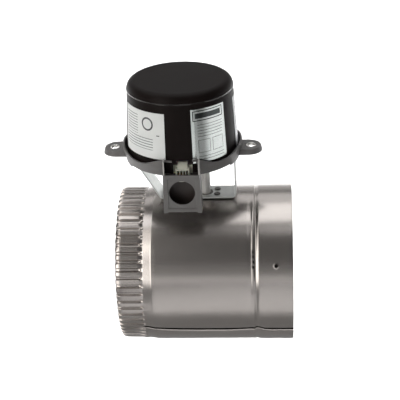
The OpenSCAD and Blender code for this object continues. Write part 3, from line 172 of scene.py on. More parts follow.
def finish(name, dark, light, rough, grain_mm, depth_um, stretch=(1, 1, 1), drift_mm=35,
           drift_stretch=(1, 1, 1), **shader):
    """A finish from two tones, a roughness range and a grain; returns its tree for more work."""
    look = bpy.data.materials.new(name)
    look.use_nodes = True
    tree = look.node_tree
    tree.nodes.clear()
    place = add(tree, "ShaderNodeTexCoord").outputs["Object"]
    grain_at = add(tree, "ShaderNodeMapping", {"Vector": place, "Scale": stretch})
    drift_at = add(tree, "ShaderNodeMapping", {"Vector": place, "Scale": drift_stretch})
    grain = add(tree, "ShaderNodeTexNoise", {"Vector": grain_at.outputs[0],
                "Scale": 1 / (grain_mm * MM), "Detail": 3.0, "Roughness": 0.6})
    drift = add(tree, "ShaderNodeTexNoise", {"Vector": drift_at.outputs[0],
                "Scale": 1 / (drift_mm * MM), "Detail": 2.0, "Roughness": 0.5})
    both = add(tree, "ShaderNodeMix", {"Factor": GRAIN_SHARE, "A": drift.outputs["Fac"],
               "B": grain.outputs["Fac"]}, data_type="FLOAT")
    spread = add(tree, "ShaderNodeMapRange", {"Value": both.outputs[0], **NOISE})
    tone = add(tree, "ShaderNodeMix", {"Factor": spread.outputs[0]}, data_type="RGBA")
    tone.inputs[TONE_A].default_value = linear(dark)
    tone.inputs[TONE_B].default_value = linear(light)
    gloss = add(tree, "ShaderNodeMapRange", {"Value": both.outputs[0], **NOISE,
                "To Min": rough[0], "To Max": rough[1]})
    bump = add(tree, "ShaderNodeBump", {"Height": grain.outputs["Fac"],
               "Distance": depth_um * 1e-6, "Strength": 1.0})
    surface = add(tree, "ShaderNodeBsdfPrincipled", {"Base Color": tone.outputs[2],
                  "Roughness": gloss.outputs[0], "Normal": bump.outputs[0]})
    for socket, value in shader.items():
        surface.inputs[socket.replace("_", " ")].default_value = value
    add(tree, "ShaderNodeOutputMaterial", {"Surface": surface.outputs[0]})
    finishes[name] = look
    return tree, tone, surface, place


def printed_on(tree, tone, surface, mask, ink):
    """Lays an ink colour over a finish where mask is 1."""
    over = add(tree, "ShaderNodeMix", {"Factor": mask, TONE_A: tone.outputs[2]}, data_type="RGBA")
    over.inputs[TONE_B].default_value = linear(ink)
    tree.links.new(over.outputs[2], surface.inputs["Base Color"])
    return over

# %% [markdown]
# The metals. Aluminised steel is rolled, so its grain runs along the pipe as fine streaks. The
# strap is zinc plated, with a faint cloudy bloom. Screws and rivets are plated too, but tumbled,
# so their grain has no direction. Two attributes of the pipe's mesh tell its finish where the
# sheet faces inwards and where the seam's gap is: the inner side gets painted shade for the dim
# inside of the pipe, and the gap a painted dark line of shade.

# %% Metal finishes
# rolled aluminised steel sheet: warm grey, satin, fine rolling streaks along the pipe; the side
# that faces inwards is painted darker as shade for the pipe's dim inside, and the seam's gap and
# the bead's nicks get a painted near-black line of shade
tree, tone, surface, _ = finish("aluminised_sheet", "#b3ada9", "#c4beba", (0.22, 0.28), 0.4, 1.0,
                                (0.04, 1, 1), 60, (0.25, 1.4, 1.4), Metallic=1.0)
# painted shade: the inner side of the sheet drawn darker, as the pipe's inside is dim
inside = add(tree, "ShaderNodeAttribute", attribute_name="inside").outputs["Fac"]
inside_painted_shade = printed_on(tree, tone, surface, inside, "#6d6864")
# painted shade: the seam's gap and the bead's nicks drawn near black
gap_painted_shade = add(tree, "ShaderNodeAttribute", attribute_name="seam_gap").outputs["Fac"]
printed_on(tree, inside_painted_shade, surface, gap_painted_shade, "#0f0e0e")
# stamped aluminised steel sheet of the blade: same stock, streaks along the height
finish("blade_sheet", "#96918b", "#b2ada6", (0.30, 0.42), 0.8, 5, (1, 1, 0.05), 50, Metallic=1.0)
# ground steel rod: turned lines round it, a soft even shine
finish("shaft_steel", "#ebe9e5", "#f6f4f1", (0.46, 0.60), 0.5, 6, (0.06, 0.06, 1), 30, Metallic=0.25)
# zinc-plated strap steel: bluish bright zinc with a cloudy bloom
finish("zinc_strap", "#bbbdbb", "#e0e2e0", (0.36, 0.50), 0.7, 9, (1, 0.2, 1), 18, Metallic=1.0)
# zinc-plated screws: tumbled, even, slightly dull
finish("screw_steel", "#8f9091", "#b9babb", (0.30, 0.42), 0.25, 6, drift_mm=6, Metallic=1.0)
# steel rivets: peened, so their plating is dark and worn
finish("rivet_steel", "#6b6a68", "#8d8c89", (0.36, 0.50), 0.25, 7, drift_mm=4, Metallic=1.0)
# bright nickel-plated brass of the ears' eyelets: the one polished metal
finish("eyelet_nickel", "#dcdbd7", "#efeeea", (0.14, 0.22), 0.3, 3, drift_mm=5, Metallic=1.0)
# black-oxide spring steel of the retaining clip
finish("clip_steel", "#3c3b3a", "#5a5856", (0.34, 0.46), 0.2, 5, drift_mm=8, Metallic=1.0)
# drawn brass of the posts, standoffs and contacts
finish("brass_posts", "#a98a4e", "#cdb074", (0.24, 0.36), 0.3, 4, (0.2, 0.2, 1), 10, Metallic=1.0)
finish("contact_brass", "#7d5f38", "#a98a52", (0.30, 0.42), 0.2, 3, drift_mm=4, Metallic=1.0)
# plated deep-drawn steel of the motor can, cast zinc of its gear case
finish("motor_steel", "#9b9c9d", "#bfc0c1", (0.22, 0.34), 0.4, 4, (1, 1, 0.1), 25, Metallic=1.0)
finish("case_zinc", "#7f7d79", "#9c9a95", (0.42, 0.58), 0.35, 18, drift_mm=12, Metallic=1.0)
# bright spring steel of the switch levers
finish("spring_steel", "#a8a9aa", "#c8c9ca", (0.18, 0.28), 0.2, 3, (1, 1, 0.1), 8, Metallic=1.0)
print("metal finishes:", len(finishes))

# %% [markdown]
# The plastics. Moulded parts take the texture of their mould: the cover is satin black, the tray
# is filled grey nylon with a duller skin. Their colour hardly changes, so the grain and the
# roughness do the work.

# %% Plastic, board and paint finishes
# moulded black polycarbonate cover: satin, very fine texture
cover_look = finish("cover_plastic", "#161110", "#1d1716", (0.36, 0.44), 0.35, 6, drift_mm=45,
                    IOR=1.5, Specular_IOR_Level=0.07)
# moulded glass-filled grey nylon tray: duller, with faint flow marks
tray_look = finish("tray_plastic", "#625f5e", "#71706f", (0.38, 0.50), 0.45, 16, drift_mm=22,
                   IOR=1.53)
# natural nylon bushings and ivory socket
finish("bushing_nylon", "#b9b09a", "#d3cbb6", (0.40, 0.52), 0.3, 6, drift_mm=8, IOR=1.53)
finish("socket_nylon", "#c3c4b4", "#dedfd1", (0.36, 0.48), 0.4, 6, drift_mm=6, IOR=1.53,
       Subsurface_Weight=0.12, Subsurface_Scale=0.002)
# molybdenum-filled nylon of the upper bushing: grey, a little greasy
finish("bushing_grey", "#77756f", "#8c8a84", (0.36, 0.48), 0.3, 6, drift_mm=8, IOR=1.53)
# acetal gears: slippery, slightly waxy white
finish("gear_acetal", "#d8d6ce", "#ebe9e2", (0.30, 0.40), 0.3, 4, drift_mm=9, IOR=1.48)
# filled nylon of the cam, switch cases and their buttons: dark, even, and a dull red
finish("cam_plastic", "#2b2f34", "#383d43", (0.36, 0.48), 0.3, 6, drift_mm=9, IOR=1.5)
finish("switch_plastic", "#1c1b1b", "#282726", (0.38, 0.50), 0.3, 7, drift_mm=7, IOR=1.55)
finish("button_plastic", "#8c1f1b", "#a32b26", (0.32, 0.42), 0.2, 4, drift_mm=3, IOR=1.5)
# extruded PVC insulation of the leads
finish("lead_insulation", "#50525a", "#676a73", (0.34, 0.46), 0.2, 4, drift_mm=5, IOR=1.53)
# epoxy-glass board with solder mask, relay case, capacitor sleeve
finish("board_laminate", "#1f4a31", "#2b6142", (0.24, 0.36), 0.5, 6, drift_mm=9, IOR=1.55)
finish("relay_plastic", "#20242c", "#2c313a", (0.36, 0.48), 0.4, 8, drift_mm=10, IOR=1.55)
finish("capacitor_sleeve", "#1b2135", "#283050", (0.28, 0.38), 0.2, 4, drift_mm=5, IOR=1.5)
# matt pale lacquer of the studio floor
finish("floor_paint", "#afafaf", "#b5b5b5", (0.7, 0.8), 4, 2, drift_mm=900, IOR=1.45)
floor.data.materials.append(finishes["floor_paint"])
print("finishes so far:", len(finishes))

# %% [markdown]
# Small mesh tools. A wrapped grid is a sheet of points that closes on itself both ways, which is
# all a pipe wall is. A turned mesh is a half section swept round an upright axis, as on a lathe.
# The sign of the volume inside says whether the faces point outwards. Rods and boxes are cutters.

# %% Mesh helpers
SHARP = math.radians(32)


def mm(*point):
    """A point given in millimetres."""
    return Vector(point) * MM


def in_scene(name, data):
    """An object for a mesh, linked to the scene."""
    thing = bpy.data.objects.new(name, data)
    scene.collection.objects.link(thing)
    return thing


def after_modifiers(work):
    """The mesh that an object's modifiers leave; the object goes."""
    mesh = bpy.data.meshes.new_from_object(work.evaluated_get(bpy.context.evaluated_depsgraph_get()))
    bpy.data.objects.remove(work)
    return mesh


def as_mesh(body, name):
    """A mesh from a bmesh, which is freed."""
    mesh = bpy.data.meshes.new(name)
    body.to_mesh(mesh)
    body.free()
    return mesh


def place_piece(mesh, name, look, body, replaced):
    """Makes an object at the origin from a finished mesh, puts it under its body's empty and hides the
    nodes that it replaces.
    """
    mesh.name = name
    mesh.materials.clear()
    mesh.materials.append(finishes[look])
    piece = in_scene(name, mesh)
    mesh.shade_smooth()
    mesh.set_sharp_from_angle(angle=SHARP)
    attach(piece, body)
    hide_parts(*replaced)
    return piece


def enclosed(points, quads):
    """The signed volume inside quads."""
    total = 0.0
    for corners in ((0, 1, 2), (0, 2, 3)):
        a, b, c = (points[quads[:, i]] for i in corners)
        total += np.einsum("ij,ij->i", a, np.cross(b, c)).sum() / 6
    return total


def wrapped_grid(grid):
    """A mesh from points [row, column, xyz] whose rows and columns both close on themselves."""
    rows, columns = grid.shape[:2]
    index = np.arange(rows * columns).reshape(rows, columns)
    down, right = np.roll(index, -1, 0), np.roll(index, -1, 1)
    quads = np.stack((index, right, np.roll(down, -1, 1), down), -1).reshape(-1, 4)
    points = grid.reshape(-1, 3)
    if enclosed(points, quads) < 0:
        quads = quads[:, ::-1]
    mesh = bpy.data.meshes.new("grid")
    mesh.from_pydata(points.tolist(), [], quads.tolist())
    return mesh


def turned(section, columns, centre=(0, 0)):
    """A closed mesh from a half section [(radius, height)] in millimetres that starts and ends
    on the axis, or that closes on itself when its first radius isn't zero."""
    section = np.array(section, float) * MM
    centre = np.array(centre) * MM
    turn = np.linspace(0, 2 * math.pi, columns, endpoint=False)
    if section[0, 0] > 0:
        ring = np.stack((np.cos(turn), np.sin(turn), np.zeros(columns)), -1)
        grid = section[:, None, :1] * ring[None] + section[:, None, 1:] * [0, 0, 1]
        return wrapped_grid(grid + np.array([*centre, 0]))
    points, faces, last = [], [], None
    for radius, height in section:
        count = 1 if radius == 0 else columns
        ring = list(range(len(points), len(points) + count))
        points += [(radius * math.cos(t) + centre[0], radius * math.sin(t) + centre[1], height)
                   for t in turn[:count]]
        if last:
            for k in range(columns):
                a, b = last[k % len(last)], last[(k + 1) % len(last)]
                c, d = ring[(k + 1) % len(ring)], ring[k % len(ring)]
                faces.append([v for i, v in enumerate((a, b, c, d)) if v not in (a, b, c, d)[:i]])
        last = ring
    mesh = bpy.data.meshes.new("turned")
    mesh.from_pydata(points, [], faces)
    body = bmesh.new()
    body.from_mesh(mesh)
    bmesh.ops.recalc_face_normals(body, faces=body.faces)
    if body.calc_volume(signed=True) < 0:
        bmesh.ops.reverse_faces(body, faces=body.faces)
    body.to_mesh(mesh)
    body.free()
    return mesh


def bored(mesh, cutters, mode="DIFFERENCE"):
    """Cuts meshes out of a mesh with the Boolean modifier, or joins them with mode UNION."""
    work = in_scene("work", mesh)
    tools = [in_scene("tool", cutter) for cutter in cutters]
    for tool in tools:
        cut = work.modifiers.new("cut", "BOOLEAN")
        cut.operation = mode
        cut.solver = "EXACT"
        cut.object = tool
    result = after_modifiers(work)
    for tool in tools:
        bpy.data.objects.remove(tool)
    return result


def rod_mesh(radius, start, end, columns=48, end_radius=None):
    """A closed cylinder or cone between two points, its radius in millimetres, as a cutter."""
    body = bmesh.new()
    bmesh.ops.create_cone(body, cap_ends=True, segments=columns, radius1=radius * MM,
                          radius2=(end_radius or radius) * MM, depth=(end - start).length)
    turn = (end - start).to_track_quat("Z", "Y").to_matrix().to_4x4()
    bmesh.ops.transform(body, verts=body.verts, matrix=Matrix.Translation((start + end) / 2) @ turn)
    return as_mesh(body, "rod")


def box_mesh(low, high):
    """A closed box between two corners, as a cutter."""
    body = bmesh.new()
    bmesh.ops.create_cube(body, size=1)
    for v in body.verts:
        v.co = Vector([low[i] if v.co[i] < 0 else high[i] for i in range(3)])
    return as_mesh(body, "box")


print("edges count as hard over", round(math.degrees(SHARP)), "degrees")

# %% [markdown]
# The vent pipe is one rolled sheet. Its radius depends on two things, how far along the pipe a
# point is and where it is round it, so it is made as a grid of points: the plain mouth, the double
# bead, the step down to the crimped end and the lap seam are all changes of radius. The sheet
# isn't perfect, so a few slow waves lower the radius by a few hundredths of a millimetre, which
# is what bends the reflections. Low marks show where the seam is spot welded, and small nicks sit
# in the bead, with painted shade in them. The tables are in millimetres and degrees.

# %% The pipe's measures
PIPE_LEN = 170.0
OUT_R, MOUTH_R, WALL = 77.0, 77.38, 0.7
# distance from the mouth, depth
BEAD = ((32.2, 0), (33.0, 0.1), (34.0, 0.45), (35.2, 0.95), (36.0, 1.1), (36.7, 0.7), (37.2, 0.25),
        (37.7, 0.15), (38.5, 0.17), (39.3, 0.32), (40.0, 0.47), (40.8, 0.43), (42.3, 0.12), (43.4, 0))
STEP_FROM, STEP_TO, NECK_R, CREST_R = 135.4, 144.2, 75.5, 76.4
STEP_EASE, STEP_SOFT, CREST_RISE = 0.5, 0.2, 3.4
LIP_FROM, LIP_DEEP, LIP_CURVE, EDGE_IN = 166.0, 1.2, 1.4, 0.12
RIDGES, VALLEY_DEEP = 62, 2.4
SEAM_TURN, SEAM_WIDE, SEAM_FADE, SWAY_WIDE = -30.3, 32.0, 24, 3.2
# degrees round the seam's edge: where no other column stands, and the two that flank it
SEAM_CLEAR, SEAM_FLANKS = (-2.1, 2.3), [2.4, -2.5]
# degrees under the seam's edge, change of radius, how much painted shade the gap gets
SEAM_EDGE = ((-1.9, 0, 0), (-1.35, -0.3, 0.5), (-0.9, -0.7, 1), (-0.15, -0.9, 1), (0, -0.9, 1),
             (0.03, -0.4, 0.9), (0.07, 0.3, 0.1), (0.4, 0.55, 0), (0.8, 0.79, 0), (1.2, 0.96, 0),
             (1.6, 1.06, 0), (2.0, 1.1, 0))
# distance from the mouth and angle: the seam's line, then the marks on the sheet
SEAM_LINE = ((0, -30.5), (18, -30.6), (28, -30.2), (33, -27.7), (38, -29.6), (60, -31.2),
             (91, -31.4), (120, -30.6), (143, -28.6), (170, -28.4))
WELDS = ((21.0, -33.3), (66.0, -33.3), (104.4, -33.3), (127.1, -33.1))
NICKS = ((37.9, 35.4), (37.9, 32.1), (37.8, 28.6), (37.9, 25.1))
WELD_HIGH, NICK_DEEP, WAVE_HIGH = 0.6, 0.55, 0.022
# how long and wide a mark is, and at what share of a nick its painted shade starts and is full
WELD_SIZE, NICK_SIZE, SHADE_SIZE, SHADE_AT = (1.8, 1.3), (0.6, 1.2), (0.8, 1.3), (0.12, 0.55)
# the sheet's waves: share of the height, how many round the pipe, radians a millimetre, start
WAVES = ((1, 3, 0.031, 0.6), (1, 5, -0.052, 2.1), (0.7, 9, 0.083, 0), (0.5, 2, 0.12, 0))
# distances from the mouth over which things fade in or out
MOUTH_END, LAP_END, GAP_END = (40, 43), (146, 152), (145, 149)
WAVES_START, WAVES_END = (2, 12), (120, 140)
CRIMP_FROM, CRIMP_FADE = 143.4, 4.4
print("pipe:", PIPE_LEN, "mm long,", RIDGES, "ridges")

# %% [markdown]
# The grid's rows are rings along the pipe, close together at the screw hole, the bead, the step
# and the lip. Its columns are angles, twelve to each ridge of the crimp. Equal steps would need
# several times as many points for the same edges.

# %% Rows and columns of the grid
def smooth(low, high, value):
    """0 below low, 1 above high, and an even curve between."""
    t = np.clip((value - low) / (high - low), 0, 1)
    return t * t * (3 - 2 * t)


def row_places():
    """Distances from the mouth at which the sheet gets a ring of points."""
    marks = [0, 0.25, 3, 6, 9, 11, *np.arange(12.0, 20.6, 0.9), 22, 25, 28, 31]
    marks += [*np.arange(32.0, 43.6, 0.38), *range(44, 134, 6), 135.2]
    marks += [*np.arange(135.45, 149.2, 0.62), 152, 158, 164, 166, 167, 168, 169]
    marks += [PIPE_LEN - 0.25, PIPE_LEN]
    for along, _turn in WELDS:
        marks += [along + d for d in (-2.6, -1.7, -0.8, 0, 0.8, 1.7, 2.6)]
    marks = sorted(marks)
    return np.array([m for i, m in enumerate(marks) if i == 0 or m - marks[i - 1] > 0.2])


def column_turns():
    """Angles round the pipe. The seam's free edge has its own, and the others keep clear of it."""
    pitch = 360 / RIDGES
    shares = (0, 0.12, 0.21, 0.27, 0.35, 0.41, 0.5, 0.59, 0.65, 0.73, 0.79, 0.88)
    turns = [(k + s) * pitch for k in range(RIDGES) for s in shares]
    edge = SEAM_TURN % 360
    turns = [t for t in turns if not SEAM_CLEAR[0] < edge - t < SEAM_CLEAR[1]]
    turns += [edge - step[0] for step in SEAM_EDGE] + [edge + away for away in SEAM_FLANKS]
    return np.array(sorted(turns))


along, turn = np.meshgrid(row_places(), column_turns(), indexing="ij")
print("rows and columns:", along.shape)

# %% [markdown]
# The outer radius is worked out at every point of the grid at once. The inner side is the same
# sheet one wall further in. Where the seam's edge hides a gap, and in the bead's nicks, the points
# carry a mark for painted shade, and the inner points carry another, for the painted shade of the
# pipe's dim inside, so the finish can darken them.

# %% The sheet's shape
def below_seam(turn):
    """Degrees from the seam's free edge, counted downwards."""
    return (SEAM_TURN - turn + 180) % 360 - 180


def sheet_radius(along, turn):
    """Outer radius of the sheet in millimetres, before its ridges are pressed."""
    radius = OUT_R + (MOUTH_R - OUT_R) * (1 - smooth(*MOUTH_END, along))
    bead_at, bead_deep = np.array(BEAD).T
    radius = radius - np.interp(along, bead_at, bead_deep)
    neck = np.interp(along, (STEP_FROM, STEP_FROM + STEP_EASE, STEP_TO, STEP_TO + CREST_RISE),
                     (0, STEP_SOFT, OUT_R - NECK_R, OUT_R - CREST_R))
    past_lip = ((along - LIP_FROM) / (PIPE_LEN - LIP_FROM)).clip(0)
    radius = radius - neck - LIP_DEEP * past_lip ** LIP_CURVE
    below = below_seam(turn)
    edge_at, edge_high, _shade = np.array(SEAM_EDGE).T
    lap = np.where(below < 60, np.interp(below, edge_at, edge_high), 0)
    lap = lap * (1 - smooth(SEAM_WIDE, SEAM_WIDE + SEAM_FADE, below))
    radius = radius + lap * (1 - smooth(*LAP_END, along))
    a = np.radians(turn)
    wave = sum(share * (1 + np.sin(count * a + along * rate + start))
               for share, count, rate, start in WAVES)
    within_pipe = smooth(*WAVES_START, along) * (1 - smooth(*WAVES_END, along))
    return radius - WAVE_HIGH * wave * within_pipe


def dent(along, turn, spot, long, wide):
    """A soft round mark of height 1 at a spot, long along the pipe and wide round it."""
    x = (along - spot[0]) / long
    y = np.radians((turn - spot[1] + 180) % 360 - 180) * OUT_R / wide
    return np.exp(-(x * x + y * y))


outer_r = sheet_radius(along, turn)
for spot in WELDS:
    outer_r = outer_r + WELD_HIGH * dent(along, turn, spot, *WELD_SIZE)
for spot in NICKS:
    outer_r = outer_r - NICK_DEEP * dent(along, turn, spot, *NICK_SIZE)
inner_r = outer_r - WALL
for end in (0, -1):
    outer_r[end] -= EDGE_IN
    inner_r[end] += EDGE_IN
# painted shade: a near-black line in the seam's gap and dark spots in the bead's nicks
edge_at, _high, shade = np.array(SEAM_EDGE).T
seam_gap = np.interp(below_seam(turn), edge_at, shade, 0, 0) * (1 - smooth(*GAP_END, along))
for spot in NICKS:
    seam_gap = np.maximum(seam_gap, smooth(*SHADE_AT, dent(along, turn, spot, *SHADE_SIZE)))
seam_x, seam_a = np.array(SEAM_LINE).T
sway = np.interp(along, seam_x, seam_a) - SEAM_TURN
turn = turn + sway * np.exp(-(below_seam(turn) / SWAY_WIDE) ** 2)


def round_pipe(radius, along, turn):
    """Points of the pipe in metres from radius, distance from the mouth and angle."""
    a = np.radians(turn)
    return np.stack((-along, -radius * np.cos(a), radius * np.sin(a)), -1) * MM


grid = np.concatenate((round_pipe(outer_r, along, turn), round_pipe(inner_r, along, turn)[::-1]))
sheet = wrapped_grid(grid)
for name, values in (("inside", np.repeat([0.0, 1.0], outer_r.size)),
                     ("seam_gap", np.concatenate((seam_gap, seam_gap * 0)).ravel())):
    sheet.attributes.new(name, "FLOAT", "POINT").data.foreach_set("value", values)
print("sheet points:", len(sheet.vertices))

# %% [markdown]
# Two things on this object follow a rule: the ridges of the crimp and the repeated fasteners. Both
# are Geometry Nodes trees with their sizes as inputs, and both need the same beginning and end.

# %% Tools for rules in Geometry Nodes
def rule_tree(name, sizes):
    """A Geometry Nodes tree with a Geometry input, named number inputs and a Material input."""
    tree = bpy.data.node_groups.new(name, "GeometryNodeTree")
    tree.interface.new_socket("Geometry", in_out="INPUT", socket_type="NodeSocketGeometry")
    for label, kind in sizes:
        tree.interface.new_socket(label, in_out="INPUT", socket_type=kind)
    tree.interface.new_socket("Material", in_out="INPUT", socket_type="NodeSocketMaterial")
    tree.interface.new_socket("Geometry", in_out="OUTPUT", socket_type="NodeSocketGeometry")
    given = add(tree, "NodeGroupInput").outputs
    return tree, given


def end_rule(tree, given, shape):
    """Ends a tree: its instances are made real and its finish is set."""
    real = add(tree, "GeometryNodeRealizeInstances", {"Geometry": shape})
    dressed = add(tree, "GeometryNodeSetMaterial", {"Geometry": real.outputs[0],
                  "Material": given["Material"]})
    add(tree, "NodeGroupOutput", {"Geometry": dressed.outputs[0]})


def grown(mesh, tree, sizes):
    """Runs a tree on a mesh and returns the result as a plain mesh."""
    work = in_scene("work", mesh)
    rule = work.modifiers.new("rule", "NODES")
    rule.node_group = tree
    for item in tree.interface.items_tree:
        if item.in_out == "INPUT" and item.name in sizes:
            rule[item.identifier] = sizes[item.name]
    return after_modifiers(work)


def maths(tree, operation, a, b=0.0, clamp=False):
    """The first output of a Math node."""
    return add(tree, "ShaderNodeMath", {0: a, 1: b}, operation=operation, use_clamp=clamp).outputs[0]

# %% [markdown]
# The crimping tool presses the same ridge sixty-two times round the end, so that the sheet goes
# into the next pipe. Each point moves towards the axis by a wave of its angle round the pipe, and
# the wave fades in where the crimp begins. Copies of one modelled ridge would leave joins.

# %% Crimp rule
UNEVEN_FROM, UNEVEN_BY = 1.31, -4.0  # the hand tool's ridges crowd a little on one side
VALLEY_FROM, VALLEY_TO = 0.12, -0.86  # heights of the wave where a valley begins and is full
crimp, given = rule_tree("crimp_rule", [(label, "NodeSocketFloat")
                                        for label in ("Ridges", "Depth", "Start", "Fade")])
where = add(crimp, "GeometryNodeInputPosition").outputs[0]
parts = add(crimp, "ShaderNodeSeparateXYZ", {0: where}).outputs
round_it = maths(crimp, "ARCTAN2", parts["Z"], maths(crimp, "MULTIPLY", parts["Y"], -1.0))
from_side = maths(crimp, "SUBTRACT", round_it, UNEVEN_FROM)
uneven = maths(crimp, "MULTIPLY", maths(crimp, "SINE", from_side), UNEVEN_BY)
even = maths(crimp, "MULTIPLY", round_it, given["Ridges"])
wave = maths(crimp, "COSINE", maths(crimp, "ADD", even, uneven))
valley = add(crimp, "ShaderNodeMapRange", {"Value": wave, "From Min": VALLEY_FROM,
             "From Max": VALLEY_TO}, interpolation_type="SMOOTHSTEP").outputs[0]
from_mouth = maths(crimp, "MULTIPLY", parts["X"], -1.0)
beyond = maths(crimp, "SUBTRACT", from_mouth, given["Start"])
past = maths(crimp, "DIVIDE", beyond, given["Fade"], clamp=True)
fade = add(crimp, "ShaderNodeMapRange", {"Value": past}, interpolation_type="SMOOTHSTEP")
deep = maths(crimp, "MULTIPLY", valley, given["Depth"])
inwards = maths(crimp, "MULTIPLY", maths(crimp, "MULTIPLY", deep, fade.outputs[0]), -1.0)
radial = add(crimp, "ShaderNodeCombineXYZ", {"Y": parts["Y"], "Z": parts["Z"]}).outputs[0]
unit = add(crimp, "ShaderNodeVectorMath", {0: radial}, operation="NORMALIZE").outputs[0]
push = add(crimp, "ShaderNodeVectorMath", {0: unit, "Scale": inwards}, operation="SCALE").outputs[0]
moved = add(crimp, "GeometryNodeSetPosition", {"Geometry": given["Geometry"], "Offset": push})
end_rule(crimp, given, moved.outputs[0])
sheet = grown(sheet, crimp, {"Ridges": float(RIDGES), "Depth": VALLEY_DEEP * MM,
              "Start": CRIMP_FROM * MM, "Fade": CRIMP_FADE * MM,
              "Material": finishes["aluminised_sheet"]})
print("crimped sheet faces:", len(sheet.polygons))

# %% [markdown]
# The pipe has a screw hole near its mouth, two holes for the shaft's bushings and four for the
# rivets. They are cut with the Boolean modifier, the way a punch would. The screw hole was punched
# from inside, so its burr stands out as a low cone, which catches a bright ring of light.

# %% Holes in the pipe
SHAFT_X = -84.5
HOLE_ALONG, HOLE_TURN, HOLE_R = 16.2, math.radians(25.5), 1.8
BURR_FROM, BURR_TO, BURR_FOOT, BURR_LIP = 77.05, 77.7, 1.9, 0.2
BUSHING_HOLE_R, RIVET_HOLE_R, RIVET_X, RIVET_Y = 5.85, 1.63, 11.5, 5.5
PUNCH_FROM, PUNCH_TO = 70, 82


def out_of_hole(radius):
    """The point on the screw hole's axis at a radius from the pipe's axis."""
    outwards = Vector((0, -math.cos(HOLE_TURN), math.sin(HOLE_TURN)))
    return (Vector((-HOLE_ALONG, 0, 0)) + outwards * radius) * MM


def punch(x, y, low, high, radius, columns=48):
    """An upright punch at a place from the shaft."""
    return rod_mesh(radius, mm(SHAFT_X + x, y, low), mm(SHAFT_X + x, y, high), columns)


burr = rod_mesh(HOLE_R + BURR_FOOT, out_of_hole(BURR_FROM), out_of_hole(BURR_TO), 32,
                HOLE_R + BURR_LIP)
punches = [rod_mesh(HOLE_R, out_of_hole(PUNCH_FROM), out_of_hole(PUNCH_TO), 24),
           punch(0, 0, PUNCH_FROM, PUNCH_TO, BUSHING_HOLE_R),
           punch(0, 0, -PUNCH_TO, -PUNCH_FROM, BUSHING_HOLE_R)]
punches += [punch(x, y, PUNCH_FROM, PUNCH_TO, RIVET_HOLE_R, 20)
            for x in (-RIVET_X, RIVET_X) for y in (-RIVET_Y, RIVET_Y)]
sheet = bored(bored(sheet, [burr], "UNION"), punches)
place_piece(sheet, "pipe_sheet", "aluminised_sheet", "operator",
            ["vent_pipe"])
print("pipe faces:", len(sheet.polygons))

# %% [markdown]
# The cover is a deep moulded cap. It leans in a little towards its top, and a low ridge runs
# under its rounded edge where the mould's halves met. All of that is one half section, turned.
# The notch over the harness socket is cut out, and two bosses with ribs inside take its screws.

# %% Cover
HOUSE = (-104.9, 0.0)
COVER_LOW_R, COVER_LOW_Z, COVER_TOP_Z = 53.9, 123.5, 198.5
COVER_EDGE, COVER_WALL, COVER_SLOPE = 7.6, 1.8, math.radians(3)
RIDGE_R, RIDGE_IN, RIDGE_DOWN, RIDGE_HIGH = 0.65, 0.25, 0.5, 1.15
SOCKET_X, NOTCH_Y = -101.5, (-60, -38)
NOTCH_STEPS = ((9.3, 133.7), (5.7, 136.1))  # half width and upper end
BOSS_TURNS, BOSS_AT, BOSS_R, BOSS_TOP = (305, 125), 45, 4, 143.5
RIB_TO, RIB_HALF, PILOT_R, PILOT_TOP = 52.6, 0.9, 1.83, 137
BELOW_COVER, FOOT_EASE, EDGE_STEPS = 120, 0.3, 16


def cover_side_r(z):
    """Outer radius of the cover's side at a height, in millimetres."""
    return COVER_LOW_R - (z - COVER_LOW_Z) * math.tan(COVER_SLOPE)


def cover_line(inset, low):
    """Half section of the cover's face, from the top's middle to its lower edge."""
    centre_z = COVER_TOP_Z - COVER_EDGE
    tangent_z = centre_z + COVER_EDGE * math.sin(COVER_SLOPE)
    centre_r = cover_side_r(tangent_z) - COVER_EDGE * math.cos(COVER_SLOPE)
    edge = COVER_EDGE - inset
    line = [(0, centre_z + edge)]
    line += [(centre_r * f, centre_z + edge) for f in (0.3, 0.7, 0.97)]
    for step in range(EDGE_STEPS + 1):
        t = math.pi / 2 + (COVER_SLOPE - math.pi / 2) * step / EDGE_STEPS
        line.append((centre_r + edge * math.cos(t), centre_z + edge * math.sin(t)))
    foot_r = cover_side_r(low) - inset / math.cos(COVER_SLOPE)
    top_r, top_z = line[-1]
    if inset == 0:
        line += [(top_r - RIDGE_IN + RIDGE_R * math.cos(t), top_z - RIDGE_DOWN + RIDGE_R * math.sin(t))
                 for t in (0.95, 0.6, 0.3, 0.0, -0.35, -0.75, -1.1)]
        top_z -= RIDGE_HIGH
    line += [(top_r + (foot_r - top_r) * f, top_z + (low - top_z) * f)
             for f in (0.25, 0.5, 0.75, 0.97, 1.0)]
    return line


outer_line = cover_line(0.0, COVER_LOW_Z + FOOT_EASE)
inner_line = cover_line(COVER_WALL, COVER_LOW_Z)
section = outer_line + [(outer_line[-1][0] - FOOT_EASE, COVER_LOW_Z)] + inner_line[::-1]
cap = turned(section, 240, HOUSE)
cap = bored(cap, [box_mesh(mm(SOCKET_X - half, NOTCH_Y[0], BELOW_COVER),
                           mm(SOCKET_X + half, NOTCH_Y[1], high)) for half, high in NOTCH_STEPS])
bosses, pilots = [], []
for angle in BOSS_TURNS:
    spin = Matrix.Translation(mm(*HOUSE, 0)) @ Matrix.Rotation(math.radians(angle), 4, "Z")
    rib = box_mesh(mm(BOSS_AT, -RIB_HALF, COVER_LOW_Z), mm(RIB_TO, RIB_HALF, BOSS_TOP))
    rib.transform(spin)
    at = spin @ mm(BOSS_AT, 0, 0)
    bosses += [rib, rod_mesh(BOSS_R, at + mm(0, 0, COVER_LOW_Z), at + mm(0, 0, BOSS_TOP), 32)]
    pilots.append(rod_mesh(PILOT_R, at + mm(0, 0, BELOW_COVER), at + mm(0, 0, PILOT_TOP), 20))
cap = bored(bored(cap, bosses, "UNION"), pilots)
